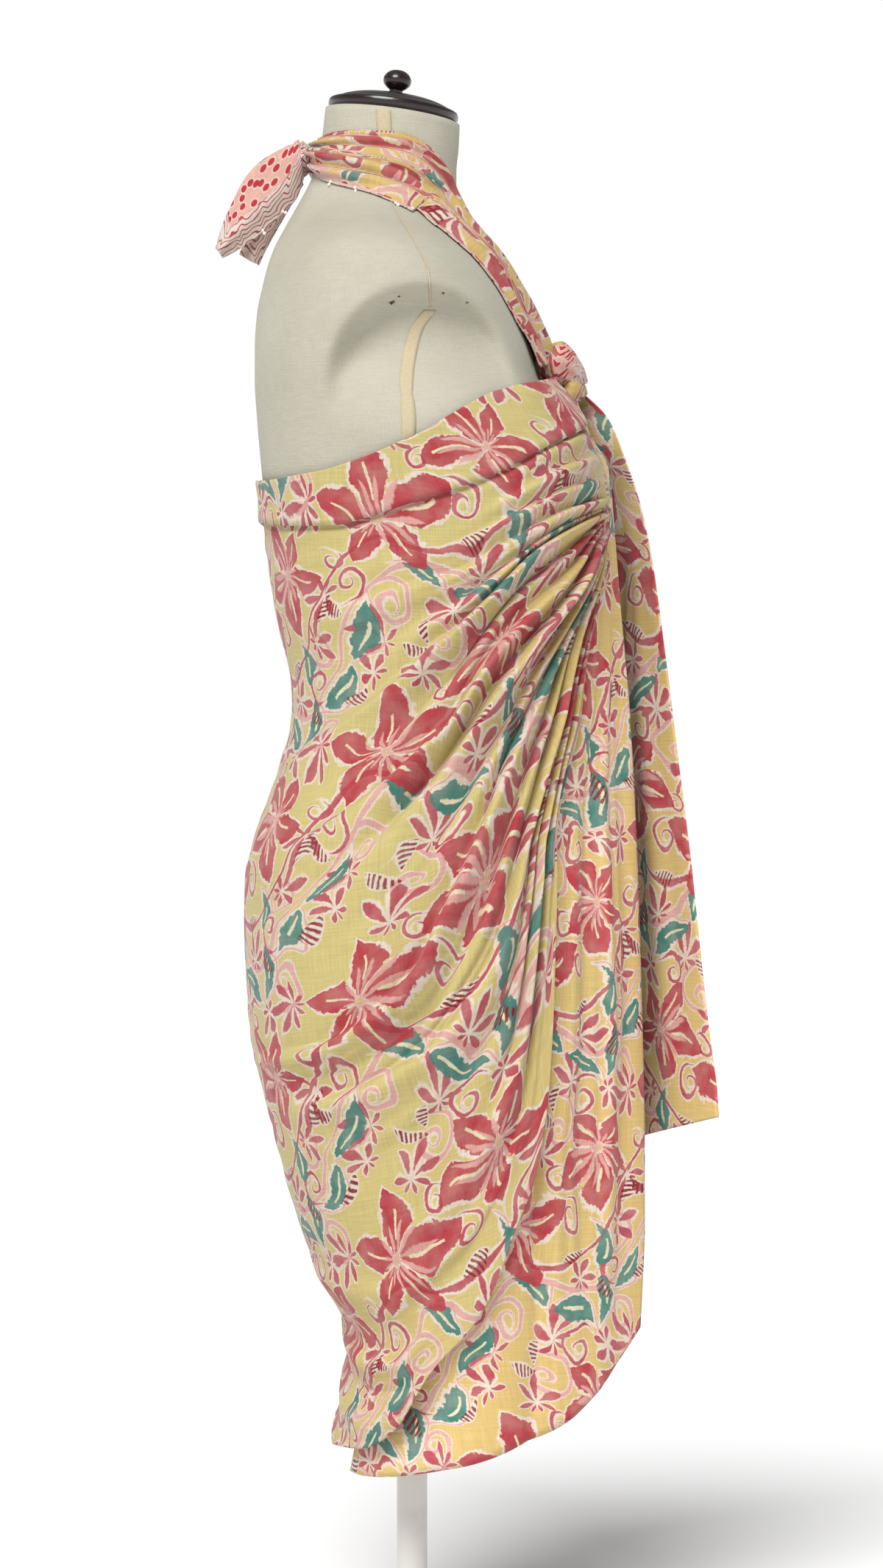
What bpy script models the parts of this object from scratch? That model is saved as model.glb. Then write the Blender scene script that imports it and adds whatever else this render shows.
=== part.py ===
"""Printed cotton sarong tied as a halter, on a limbless dress form with a pole and a round base.

Sizes are in millimetres. The form faces -Y, its near side is -X, and +Z is up from the floor.
"""
import math

import bmesh
import bpy
import numpy as np
from mathutils import Vector
from mathutils.bvhtree import BVHTree

MM = 0.001
COLLECTION = "sarong_on_form"
HALF_TURN = math.pi
SURFACE_STEP = 0.5
ANGLE_STEP = 0.01
TINY = 1e-9

# Cloth
WALL = 1.5
LAYER_GAP = 1.28
UNDER_LAYER = 6.0
NEAR_TUCK_GAP = 1.6
FAR_TUCK_GAP = 0.42
TUCK_REACH = 45.0
TUCK_SIDE = 6.0
EDGE_LIFT = 5.0
EDGE_LIFT_FROM = 0.93
SLOPE_LIMIT = 0.38
BAND_STEP = 1.2

# Form
FORM_COLUMNS = 36
EXTRA_RINGS = (570.0, 690.0, 900.0, 1060.0, 1296.0, 1312.0, 1333.0)
NECK_CENTRE = 18.0
NECK_TOP = 1394.0
NECK_TILT = 7.5
TILT_START = 1325.0
ARM_CENTRE = (-20.0, 1168.0)
ARM_REACH = (82.0, 84.0)
ARM_DEPTH = 12.0
ARM_RIM = (0.45, 1.0)
ARM_SIDE = (0.5, 0.9)
SEAT_GAP = 0.3

# Stand
BASE_RADIUS = 170.0
BASE_HEIGHT = 14.0
POLE_RADIUS = 14.0
POLE_CENTRE = 0.0

# Form sections: height, front, back, half width, power of the outline
FORM_RINGS = (
    (520, -92, 124, 160, 2.3),
    (545, -98, 134, 168, 2.3),
    (600, -107, 143, 180, 2.3),
    (660, -110, 143, 186, 2.3),
    (720, -112, 134, 182, 2.3),
    (780, -109, 117, 165, 2.3),
    (830, -104, 104, 152, 2.3),
    (870, -101, 103, 147, 2.3),
    (930, -106, 117, 151, 2.3),
    (990, -124, 129, 161, 2.3),
    (1040, -146, 136, 170, 2.3),
    (1080, -153, 140, 176, 2.3),
    (1115, -140, 143, 180, 2.3),
    (1150, -117, 145, 183, 2.25),
    (1180, -109, 145, 185, 2.2),
    (1210, -99, 143, 186, 2.15),
    (1235, -87, 138, 184, 2.1),
    (1255, -75, 133, 176, 2.0),
    (1272, -62, 127, 156, 1.9),
    (1288, -53, 119, 128, 1.8),
    (1304, -46, 110, 101, 1.8),
    (1322, -41, 100, 80, 1.9),
    (1345, -41, 89, 68, 2.0),
    (1370, -43, 83, 63, 2.0),
    (1394, -44, 80, 62, 2.0),
)

# Sections of the worn cloth: height, front, back, half width, power of the outline
WRAP_RINGS = (
    (140, -140, 66, 136, 2.3),
    (150, -141, 66, 137, 2.3),
    (217, -147, 60, 142, 2.3),
    (271, -151, 61, 149, 2.3),
    (326, -156, 85, 159, 2.3),
    (380, -161, 105, 170, 2.3),
    (434, -166, 120, 180, 2.3),
    (489, -170, 134, 189, 2.3),
    (545, -172, 149, 195, 2.3),
    (624, -170, 153, 199, 2.4),
    (691, -164, 151, 198, 2.4),
    (734, -160, 144, 192, 2.35),
    (788, -161, 125, 179, 2.3),
    (843, -166, 109, 171, 2.3),
    (870, -168, 110, 170, 2.3),
    (924, -176, 123, 170, 2.3),
    (980, -183, 132, 173, 2.3),
    (1023, -184, 137, 176, 2.3),
    (1050, -181, 139, 178, 2.35),
    (1077, -173, 141, 180, 2.35),
    (1104, -160, 143, 183, 2.35),
    (1131, -142, 145, 186, 2.38),
    (1149, -127, 146, 187, 2.4),
    (1170, -120, 147, 188, 2.4),
)

# Lines that the wrap is drawn along, from the gather to the middle of the back.
# place across the folds, start angle, start height, end height, side view points (depth, height)
WRAP_GUIDES = (
    (0.00, 6.0, 1149, 1058,
     ((-80, 1124), (-40, 1102), (-1, 1083), (38, 1067), (78, 1057), (120, 1053))),
    (0.08, 7.0, 1112, 1024,
     ((-120, 1080), (-80, 1057), (-34, 1039), (18, 1023), (68, 1011), (105, 1013))),
    (0.22, 12.0, 1040, 905,
     ((-141, 1023), (-88, 993), (-40, 964), (12, 945), (70, 922))),
    (0.36, 12.5, 1028, 770,
     ((-155, 1009), (-107, 975), (-65, 928), (-27, 885), (14, 844), (74, 806), (100, 790))),
    (0.50, 13.8, 1016, 650,
     ((-168, 1001), (-146, 962), (-101, 909), (-61, 857), (-20, 798), (20, 755), (80, 700), (125, 668))),
    (0.64, 15.0, 1004, 532,
     ((-175, 991), (-159, 952), (-133, 901), (-96, 823), (-64, 743), (-24, 649), (0, 603), (37, 570),
      (84, 545))),
    (0.78, 16.2, 992, 462,
     ((-148, 915), (-130, 834), (-109, 755), (-94, 690), (-77, 627), (-44, 572), (-1, 527), (53, 495))),
    (0.90, 16.6, 986, 318,
     ((-146, 880), (-127, 790), (-112, 700), (-106, 620), (-98, 540), (-80, 470), (-45, 405), (0, 355),
      (40, 328))),
    (1.00, 14.5, 980, 172,
     ((-157, 902), (-146, 830), (-126, 748), (-124, 691), (-122, 624), (-119, 545), (-106, 434), (-85, 373),
      (-72, 331), (-47, 287), (-21, 257), (-6, 225), (11, 196), (38, 178))),
)

# Folds of the wrap: place, half width, near height, far height, fade from, fade to
WRAP_FOLDS = (
    (0.205, 0.026, 3.0, 4.0, 0.35, 0.60),
    (0.260, 0.026, 6.0, 5.0, 0.55, 0.85),
    (0.315, 0.026, 4.5, 6.5, 0.40, 0.70),
    (0.370, 0.026, 8.5, 5.0, 0.60, 0.95),
    (0.425, 0.026, 5.0, 7.0, 0.35, 0.65),
    (0.480, 0.026, 8.0, 8.0, 0.50, 0.85),
    (0.540, 0.030, 9.5, 5.5, 0.60, 0.90),
    (0.600, 0.028, 6.0, 8.5, 0.40, 0.70),
    (0.660, 0.030, 10.5, 8.0, 0.65, 0.97),
    (0.720, 0.028, 6.5, 6.0, 0.45, 0.75),
    (0.780, 0.030, 9.5, 9.0, 0.60, 0.92),
    (0.840, 0.028, 6.0, 8.0, 0.45, 0.75),
    (0.900, 0.028, 8.0, 5.0, 0.50, 0.85),
    (0.960, 0.026, 6.5, 6.5, 0.45, 0.80),
)
FOLD_RISE = (0.03, 0.36)
SMOOTH_LINES = (0.0, 0.03, 0.06, 0.075, 0.09, 0.12, 0.16)
WRAP_STATIONS = 15
STATION_POWER = 1.15
FAR_SWAY = 14.0
SWAY_END = 0.85
BAND_EDGE = (0.072, 0.086)
SEAT_PLACES = (0.02, 0.10)
SEAT_ANGLES = (22.0, 50.0)

# Falls: place down the cloth, rear depth, rear height, leaving depth, leaving height,
# edge across, edge depth, edge height
NEAR_FALL = (
    (0.00, -132, 1121, -137.5, 1132, 9, -149, 1141),
    (0.04, -146, 1092, -155, 1098, 16, -164, 1100),
    (0.08, -158, 1062, -171, 1064, 20, -181, 1067),
    (0.14, -152, 1000, -178, 1000, 24, -187, 1002),
    (0.20, -138, 930, -167, 932, 28, -192, 937),
    (0.29, -118, 840, -146, 845, 33, -199, 852),
    (0.38, -98, 745, -126, 750, 38, -204, 757),
    (0.50, -92, 640, -122, 645, 42, -208, 655),
    (0.62, -85, 540, -119, 545, 44, -211, 560),
    (0.74, -55, 430, -107, 440, 45, -213, 455),
    (0.84, 0, 330, -108, 352, 45, -213, 375),
    (0.93, 40, 235, -112, 265, 45, -211, 322),
    (1.00, 60, 151, -108, 186, 44, -209, 281),
)
FAR_FALL = (
    (0.00, -134, 1121, -140.6, 1130, 7, -156, 1142),
    (0.04, -150, 1096, -158.5, 1106, 2, -181, 1116),
    (0.09, -160, 1066, -173.0, 1072, -6, -196, 1080),
    (0.15, -150, 1020, -180.0, 1024, -10, -211, 1034),
    (0.23, -140, 960, -170, 966, -16, -223, 974),
    (0.34, -124, 880, -152, 886, -24, -233, 894),
    (0.46, -105, 785, -132, 792, -34, -243, 800),
    (0.58, -97, 690, -124, 697, -42, -254, 706),
    (0.70, -92, 600, -122, 608, -48, -263, 622),
    (0.81, -80, 515, -119, 530, -52, -272, 548),
    (0.91, -45, 400, -113, 455, -54, -279, 500),
    (1.00, 0, 290, -110, 412, -55, -281, 474),
)
# Folds of a fall: place across, half width, height, start down the cloth, full down the cloth
NEAR_FALL_FOLDS = (
    (0.60, 0.060, 5.0, 0.12, 0.50),
    (0.71, 0.060, -5.0, 0.10, 0.55),
    (0.81, 0.060, 6.0, 0.08, 0.45),
    (0.91, 0.060, -4.0, 0.12, 0.60),
)
FAR_FALL_FOLDS = (
    (0.62, 0.060, -6.0, 0.12, 0.50),
    (0.74, 0.060, 7.0, 0.10, 0.45),
    (0.87, 0.060, -5.0, 0.10, 0.55),
)
FALL_LEAVES = 0.44
FALL_ACROSS = 19
FALL_DOWN = 24
HEM_POWER = 2.2
FALL_BOW = 10.0
BOW_RAMP = (0.25, 0.6)

# Straps: angle and height on the form, width
STRAP_PATH = (
    (5.6, 1168, 36),
    (9.4, 1204, 45),
    (14.8, 1232, 49),
    (21.6, 1259, 50),
    (32.0, 1287, 51),
    (46.0, 1315, 54),
    (76.0, 1336, 58),
    (108.0, 1344, 52),
    (142.0, 1350, 40),
    (167.0, 1354, 27),
)
STRAP_STATIONS = 18
STRAP_COLUMNS = 13
STRAP_RIDGES = 2.5
STRAP_RIDGE_HEIGHT = 3.5
STRAP_DOME = 7.0
STRAP_LIFT = 1.0
STRAP_EDGE_LIFT = 0.9
STRAP_EDGE_FROM = 0.8
STRAP_GAP = 1.45
STRAP_RISE = 15.0
STRAP_RISE_END = 0.24
FAR_STRAP_DROP = 3.0

# Knots: across, depth, height, then the three radii
CHEST_KNOT = (-4.0, -138.1, 1157.0, 27.0, 21.5, 22.0)
NAPE_KNOT = (0.0, 101.9, 1354.0, 22.0, 13.0, 17.5)
KNOT_SEGMENTS = 18
KNOT_ROWS = 10
KNOT_GROOVES = 5
KNOT_GROOVE_DEPTH = 0.06
KNOT_LEAN = 0.9
CLOTH_REACH = 0.8
FALL_REACH = -0.6
STRAP_REACH = 1.9
UPPER_TAIL_REACH = -0.65
LOWER_TAIL_REACH = -0.82

# Tails: across, upper depth, upper height, lower depth, lower height
UPPER_TAIL = (
    (-14, 104, 1371, 100, 1336),
    (-20, 121, 1361, 106, 1317),
    (-24, 138, 1350, 117, 1304),
    (-25, 153, 1334, 130, 1291),
    (-25, 165, 1311, 144, 1279),
    (-24, 175, 1288, 159, 1269),
    (-23, 180, 1270, 174, 1261),
)
LOWER_TAIL = (
    (6, 106, 1347, 101, 1333),
    (6, 127, 1320, 116, 1307),
    (7, 141, 1301, 128, 1286),
    (7, 154, 1282, 137, 1269),
    (7, 160, 1268, 142, 1258),
)
TAIL_COLUMNS = 7
TAIL_STATIONS = 9
TAIL_CUP = 6.0

# Turned profiles: radius, height
CAP_PROFILE = (
    (0, 21.0), (20, 20.0), (38, 17.5), (49, 14.0), (52, 11.8), (56, 11.0), (59.5, 9.5), (60.5, 6.5),
    (60.3, 3.0), (58.5, 0.8), (56, 0.0), (0, 0.0),
)
KNOB_PROFILE = (
    (0, 43.5), (6, 42.8), (10.5, 39.8), (13.2, 35.0), (12.6, 30.0), (9.0, 26.4), (6.0, 24.6),
    (6.5, 21.35), (0, 21.35),
)
BASE_PROFILE = (
    (0, BASE_HEIGHT), (120, BASE_HEIGHT), (158, 11.5), (168, 7.0), (BASE_RADIUS, 3.0), (168.5, 0.0),
    (0, 0.0),
)
CAP_STEPS = 28
KNOB_STEPS = 16
BASE_STEPS = 36
POLE_STEPS = 24
MERGE = 0.00001

# Finishes: red, green, blue, roughness, metallic
FINISHES = {
    "linen": (0.62, 0.57, 0.48, 0.90, 0.0),
    "dark_wood": (0.030, 0.012, 0.010, 0.22, 0.0),
    "pale_metal": (0.80, 0.80, 0.79, 0.35, 0.0),
    "yellow_cotton": (0.84, 0.62, 0.24, 0.85, 0.0),
    "pink_cotton": (0.80, 0.48, 0.44, 0.85, 0.0),
}


def slopes(places, values):
    """Returns the slope of a curve with no overshoot at each place."""
    step = np.diff(places)
    rise = np.diff(values, axis=0) / step.reshape((-1,) + (1,) * (values.ndim - 1))
    result = np.zeros_like(values)
    result[0] = rise[0]
    result[-1] = rise[-1]
    before, after = rise[:-1], rise[1:]
    total = before + after
    same = before * after > 0
    safe = np.where(same, total, 1.0)
    result[1:-1] = np.where(same, 2.0 * before * after / safe, 0.0)
    return result


def curve(places, values, at):
    """Reads a smooth curve through a table of places and values."""
    places = np.asarray(places, float)
    values = np.asarray(values, float)
    at = np.clip(np.asarray(at, float), places[0], places[-1])
    index = np.clip(np.searchsorted(places, at) - 1, 0, len(places) - 2)
    step = places[index + 1] - places[index]
    part = (at - places[index]) / step
    shape = part.shape + (1,) * (values.ndim - 1)
    part, step = part.reshape(shape), step.reshape(shape)
    tangent = slopes(places, values)
    start, end = values[index], values[index + 1]
    square, cube = part ** 2, part ** 3
    return (
        (2 * cube - 3 * square + 1) * start
        + (cube - 2 * square + part) * step * tangent[index]
        + (3 * square - 2 * cube) * end
        + (cube - square) * step * tangent[index + 1]
    )


def ease(low, high, value):
    """Goes smoothly from nought at low to one at high."""
    part = np.clip((np.asarray(value, float) - low) / (high - low), 0.0, 1.0)
    return part * part * (3.0 - 2.0 * part)


def ring_at(rings, height):
    """Returns front, back, half width and power of a section."""
    table = np.asarray(rings, float)
    found = curve(table[:, 0], table[:, 1:], height)
    return found[..., 0], found[..., 1], found[..., 2], found[..., 3]


def signed_power(value, power):
    """Raises the size of a value to a power and keeps its sign."""
    return np.sign(value) * np.abs(value) ** power


def ring_points(rings, angle, height, side):
    """Returns points of a section: angle nought is the front and half a turn is the back."""
    front, back, width, power = ring_at(rings, height)
    middle, depth = (front + back) / 2, (back - front) / 2
    across = side * width * signed_power(np.sin(angle), 2 / power)
    along = middle - depth * signed_power(np.cos(angle), 2 / power)
    return np.stack([across, along, np.broadcast_to(height, across.shape)], axis=-1)


def side_angle(rings, depth_place, height):
    """Finds the angle of the section point at this depth, as seen from the side."""
    front, back, _, power = ring_at(rings, height)
    middle, depth = (front + back) / 2, (back - front) / 2
    cosine = np.clip((middle - depth_place) / depth, -1.0, 1.0)
    return np.arccos(signed_power(cosine, power / 2))


def form_points(angle, height, side):
    """Returns points on the dress form, with its tilted neck and hollowed arm ovals."""
    points = ring_points(FORM_RINGS, angle, height, side)
    depth_part = (points[..., 1] - ARM_CENTRE[0]) / ARM_REACH[0]
    height_part = (points[..., 2] - ARM_CENTRE[1]) / ARM_REACH[1]
    inside = 1.0 - ease(ARM_RIM[0], ARM_RIM[1], np.hypot(depth_part, height_part))
    flat = ease(ARM_SIDE[0], ARM_SIDE[1], np.abs(np.sin(angle)))
    points[..., 0] -= np.sign(points[..., 0]) * ARM_DEPTH * inside * flat
    lean = ease(TILT_START, NECK_TOP, height) * math.tan(math.radians(NECK_TILT))
    points[..., 2] = points[..., 2] + lean * (points[..., 1] - NECK_CENTRE)
    return points


def grid_normals(points, outward):
    """Returns the unit normal at each point of a grid, facing the way that outward points."""
    down = np.gradient(points, axis=0)
    across = np.gradient(points, axis=1)
    normal = np.cross(down, across)
    normal /= np.maximum(np.linalg.norm(normal, axis=-1, keepdims=True), TINY)
    facing = np.sum(normal * outward, axis=-1)
    return normal * (1.0 if np.median(facing) > 0 else -1.0)


def ridge(offset, half_width):
    """A soft fold: one at its middle and nought at half a width to each side."""
    part = np.clip(np.abs(offset) / half_width, 0.0, 1.0)
    return 0.5 + 0.5 * np.cos(HALF_TURN * part)


def keep_clear(points, knot, reach):
    """Moves points that would enter a knot out to a reach from its surface."""
    centre = np.array(knot[:3])
    radii = np.array(knot[3:]) * (1 + KNOT_GROOVE_DEPTH) + reach
    offset = (points - centre) / radii
    size = np.maximum(np.linalg.norm(offset, axis=-1, keepdims=True), TINY)
    return np.where(size < 1.0, centre + offset / size * radii, points)


def open_tree(item):
    """Returns the search tree of an object's own faces, before its wall is added."""
    mesh = item.data
    spots = [vertex.co / MM for vertex in mesh.vertices]
    return BVHTree.FromPolygons(spots, [tuple(face.vertices) for face in mesh.polygons])


def tuck_under(points, tree, gap):
    """Moves points that lie under another sheet, or touch it, to a gap below it."""
    flat = points.reshape(-1, 3).copy()
    for index, point in enumerate(flat):
        spot, normal, _, _ = tree.find_nearest(Vector(point), TUCK_REACH)
        if spot is None:
            continue
        offset = Vector(point) - spot
        height = offset.dot(normal)
        beside = (offset - normal * height).length
        if height > -gap and beside < TUCK_SIDE:
            flat[index] = point - np.array(normal) * (height + gap)
    return flat.reshape(points.shape)


def lay_over(points, tree, gap):
    """Moves points out so that each is at least a gap above the faces below it."""
    flat = points.reshape(-1, 3).copy()
    for index, point in enumerate(flat):
        spot, normal, _, _ = tree.find_nearest(Vector(point))
        height = (Vector(point) - spot).dot(normal)
        if height < gap:
            flat[index] = point + np.array(normal) * (gap - height)
    return flat.reshape(points.shape)


def wrap_grid(places, stations):
    """Returns the base grid of the wrap: rows go down across the folds, columns go round the form."""
    guides = []
    guide_places = []
    for place, start_angle, start_height, end_height, points in WRAP_GUIDES:
        rows = np.asarray(points, float)
        angles = side_angle(WRAP_RINGS, rows[:, 0], rows[:, 1])
        angles = np.concatenate([[math.radians(start_angle)], angles, [HALF_TURN]])
        heights = np.concatenate([[start_height], rows[:, 1], [end_height]])
        there = ring_points(WRAP_RINGS, angles, heights, -1)
        run = np.concatenate([[0.0], np.cumsum(np.linalg.norm(np.diff(there, axis=0), axis=1))])
        run /= run[-1]
        guides.append(curve(run, np.stack([angles, heights], axis=-1), stations))
        guide_places.append(place)
    both = curve(guide_places, np.array(guides), places)
    angle, height = both[..., 0], both[..., 1]
    across = np.sin(HALF_TURN * np.minimum(places / SWAY_END, 1.0))[:, None]
    sway = FAR_SWAY * np.sin(HALF_TURN * stations)[None, :] * across
    near = cloth_points(angle, height, places, -1)
    far = cloth_points(angle, height + sway, places, 1)
    return np.concatenate([near, far[:, -2::-1]], axis=1)


def cloth_points(angle, height, places, side):
    """Returns wrap points, with the top edge laid on the form."""
    worn = ring_points(WRAP_RINGS, angle, height, side)
    form = form_points(angle, height, side)
    seat = 1.0 - ease(SEAT_PLACES[0], SEAT_PLACES[1], places)[:, None]
    seat = seat * ease(math.radians(SEAT_ANGLES[0]), math.radians(SEAT_ANGLES[1]), angle)
    outward = form - np.array([0.0, NECK_CENTRE, 0.0])
    outward[..., 2] = 0.0
    outward /= np.linalg.norm(outward, axis=-1, keepdims=True)
    laid = form + outward * LAYER_GAP
    return worn + (laid - worn) * seat[..., None]


def fold_lines():
    """Returns the places of the rows: a few on the smooth bust, four for each fold."""
    lines = list(SMOOTH_LINES)
    for place, half_width, *_ in WRAP_FOLDS:
        lines += [place - half_width, place - half_width / 2, place, place + half_width / 2]
    lines.append(1.0)
    return np.array(lines)


def wrap_folds(places, stations, spread):
    """Returns the height of the folds over the whole wrap grid, none steeper than its spacing allows."""
    rise = ease(FOLD_RISE[0], FOLD_RISE[1], stations)
    whole = np.zeros(spread.shape)
    for place, half_width, near_height, far_height, fade_from, fade_to in WRAP_FOLDS:
        across = ridge(places - place, half_width)[:, None]
        along = rise * (1.0 - ease(fade_from, fade_to, stations))
        heights = np.concatenate([near_height * along, far_height * along[-2::-1]])[None, :]
        most = SLOPE_LIMIT * half_width * spread
        whole += across * heights * most / np.sqrt(heights ** 2 + most ** 2 + TINY)
    band = BAND_STEP * (1.0 - ease(BAND_EDGE[0], BAND_EDGE[1], places))[:, None]
    most = SLOPE_LIMIT * (1.0 - EDGE_LIFT_FROM) * spread
    lift = EDGE_LIFT * most / np.sqrt(EDGE_LIFT ** 2 + most ** 2 + TINY)
    lift = lift * ease(EDGE_LIFT_FROM, 1.0, places)[:, None]
    return whole + band + lift


def build_wrap(form):
    """Builds the cloth from the gather round the near side, the back and the far side."""
    places = fold_lines()
    stations = np.linspace(0.0, 1.0, WRAP_STATIONS) ** STATION_POWER
    points = wrap_grid(places, stations)
    outward = points - np.array([0.0, NECK_CENTRE, 0.0])
    outward[..., 2] = 0.0
    normal = grid_normals(points, outward)
    spread = np.linalg.norm(np.gradient(points, places, axis=0), axis=-1)
    points = points + normal * wrap_folds(places, stations, spread)[..., None]
    points = lay_over(points, open_tree(form), LAYER_GAP)
    points = keep_clear(points, CHEST_KNOT, CLOTH_REACH)
    return sheet("body_wrap", points, outward, "yellow_cotton", WALL)


def fall_grid(rows, folds, side):
    """Returns a hanging front stretch: rows go down it, columns go from its hidden rear to its free edge."""
    table = np.asarray(rows, float)
    down = np.linspace(0.0, 1.0, FALL_DOWN)
    read = curve(table[:, 0], table[:, 1:], down)
    rear_y, rear_z, leave_y, leave_z, edge_x, edge_y, edge_z = [column[:, None] for column in read.T]
    across = np.linspace(0.0, 1.0, FALL_ACROSS)[None, :]
    under = np.clip(across / FALL_LEAVES, 0.0, 1.0)
    free = np.clip((across - FALL_LEAVES) / (1.0 - FALL_LEAVES), 0.0, 1.0)
    rear_angle = side_angle(WRAP_RINGS, rear_y, rear_z)
    leave_angle = side_angle(WRAP_RINGS, leave_y, leave_z)
    angle = rear_angle + (leave_angle - rear_angle) * under
    height = rear_z + (leave_z - rear_z) * under ** HEM_POWER
    lying = ring_points(WRAP_RINGS, angle, height, side)
    inward = lying - np.array([0.0, NECK_CENTRE, 0.0])
    inward[..., 2] = 0.0
    inward /= np.linalg.norm(inward, axis=-1, keepdims=True)
    lying = lying - inward * UNDER_LAYER
    edge = np.stack([side * edge_x, edge_y, edge_z], axis=-1)
    leave = lying[:, -1:, :]
    hanging = leave + (edge - leave) * free[..., None]
    bow = FALL_BOW * np.sin(HALF_TURN * free) * ease(BOW_RAMP[0], BOW_RAMP[1], down)[:, None]
    hanging[..., 0] += side * bow
    points = np.where((across < FALL_LEAVES)[..., None], lying, hanging)
    outward = np.zeros_like(points)
    outward[..., 0] = side
    normal = grid_normals(points, outward)
    for place, half_width, fold_height, start, full in folds:
        lift = fold_height * ridge(across - place, half_width) * ease(start, full, down)[:, None]
        points = points + normal * lift[..., None]
    return keep_clear(points, CHEST_KNOT, FALL_REACH), outward


def build_fall(name, rows, folds, side, cover, gap):
    """Builds a hanging front stretch as a wall that grows inward, tucked under the wrap."""
    points, outward = fall_grid(rows, folds, side)
    points = tuck_under(points, open_tree(cover), gap)
    return sheet(name, points, outward, "yellow_cotton", -WALL)


def build_strap(name, side, drop, form):
    """Builds a halter strap: a band with lengthwise folds that lies on the form."""
    path = np.asarray(STRAP_PATH, float)
    along = np.linspace(0.0, 1.0, STRAP_STATIONS)
    rows = form_points(np.radians(path[:, 0]), path[:, 1], side)
    run = np.concatenate([[0.0], np.cumsum(np.linalg.norm(np.diff(rows, axis=0), axis=1))])
    read = curve(run / run[-1], path, along)
    angle, height, width = np.radians(read[:, 0]), read[:, 1], read[:, 2]
    height = height - drop * np.sin(HALF_TURN * along)
    centre = form_points(angle, height, side)
    by_angle = (form_points(angle + ANGLE_STEP, height, side) - centre) / ANGLE_STEP
    by_height = (form_points(angle, height + SURFACE_STEP, side) - centre) / SURFACE_STEP
    tangent = np.gradient(centre, axis=0)
    normal = np.cross(by_angle, by_height)
    normal /= np.linalg.norm(normal, axis=-1, keepdims=True)
    normal *= np.sign(np.sum(normal * (centre - [0.0, NECK_CENTRE, height.mean()]), axis=-1, keepdims=True))
    breadth = np.cross(normal, tangent)
    breadth /= np.linalg.norm(breadth, axis=-1, keepdims=True)
    across = np.linspace(-1.0, 1.0, STRAP_COLUMNS)
    grid = np.zeros((STRAP_STATIONS, STRAP_COLUMNS, 3))
    for index in range(STRAP_STATIONS):
        plane = np.stack([by_angle[index], by_height[index]], axis=-1)
        for column, place in enumerate(across):
            wanted = breadth[index] * place * width[index] / 2
            step = np.linalg.lstsq(plane, wanted, rcond=None)[0]
            spot = form_points(angle[index] + step[0], height[index] + step[1], side)
            ridges = 0.5 - 0.5 * math.cos(2 * HALF_TURN * STRAP_RIDGES * (place + 1) / 2)
            edge = 1.0 - ease(STRAP_EDGE_FROM, 1.0, abs(place))
            dome = STRAP_DOME * (1.0 - place * place)
            lift = STRAP_EDGE_LIFT + (STRAP_LIFT + dome + STRAP_RIDGE_HEIGHT * ridges) * edge
            lift += STRAP_RISE * (1.0 - ease(0.0, STRAP_RISE_END, along[index]))
            grid[index, column] = spot + normal[index] * lift
    outward = np.broadcast_to(normal[:, None, :], grid.shape)
    grid = lay_over(grid, open_tree(form), STRAP_GAP)
    grid = keep_clear(keep_clear(grid, CHEST_KNOT, STRAP_REACH), NAPE_KNOT, STRAP_REACH)
    return sheet(name, grid, outward, "yellow_cotton", WALL)


def build_tail(name, rows, side, reach):
    """Builds a free end of the cloth behind the nape as a cupped wall."""
    table = np.asarray(rows, float)
    read = curve(np.linspace(0.0, 1.0, len(rows)), table, np.linspace(0.0, 1.0, TAIL_STATIONS))
    across = np.linspace(0.0, 1.0, TAIL_COLUMNS)[None, :]
    upper = read[:, [0, 1, 2]][:, None, :]
    lower = read[:, [0, 3, 4]][:, None, :]
    points = upper + (lower - upper) * across[..., None]
    points[..., 0] += side * TAIL_CUP * np.sin(HALF_TURN * across)
    outward = np.zeros_like(points)
    outward[..., 0] = side
    points = keep_clear(points, NAPE_KNOT, reach)
    return sheet(name, points, outward, "pink_cotton", WALL)


def finish_material(name):
    """Returns a Principled material for a finish of the table."""
    red, green, blue, roughness, metallic = FINISHES[name]
    material = bpy.data.materials.get(name) or bpy.data.materials.new(name)
    material.use_nodes = True
    shader = material.node_tree.nodes["Principled BSDF"]
    shader.inputs["Base Color"].default_value = (red, green, blue, 1.0)
    shader.inputs["Roughness"].default_value = roughness
    shader.inputs["Metallic"].default_value = metallic
    return material


def add_object(name, mesh, finish):
    """Adds a named object with its finish to the part's collection."""
    item = bpy.data.objects.new(name, mesh)
    mesh.materials.append(finish_material(finish))
    bpy.data.collections[COLLECTION].objects.link(item)
    return item


def mesh_from(name, vertices, faces):
    """Makes a mesh from points in millimetres."""
    mesh = bpy.data.meshes.new(name)
    mesh.from_pydata([tuple(float(value) * MM for value in point) for point in vertices], [], faces)
    mesh.update()
    return mesh


def sheet(name, points, outward, finish, wall):
    """Makes an open grid into a closed wall of cloth, grown outward, or inward for a wall below nought."""
    rows, columns = points.shape[:2]
    faces = []
    for row in range(rows - 1):
        for column in range(columns - 1):
            first = row * columns + column
            faces.append((first, first + 1, first + columns + 1, first + columns))
    down = np.gradient(points, axis=0)
    along = np.gradient(points, axis=1)
    facing = np.median(np.sum(np.cross(along, down) * outward, axis=-1))
    if facing < 0:
        faces = [face[::-1] for face in faces]
    item = add_object(name, mesh_from(name, points.reshape(-1, 3), faces), finish)
    solidify = item.modifiers.new("wall", "SOLIDIFY")
    solidify.thickness = abs(wall) * MM
    solidify.offset = math.copysign(1.0, wall)
    return item


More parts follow.
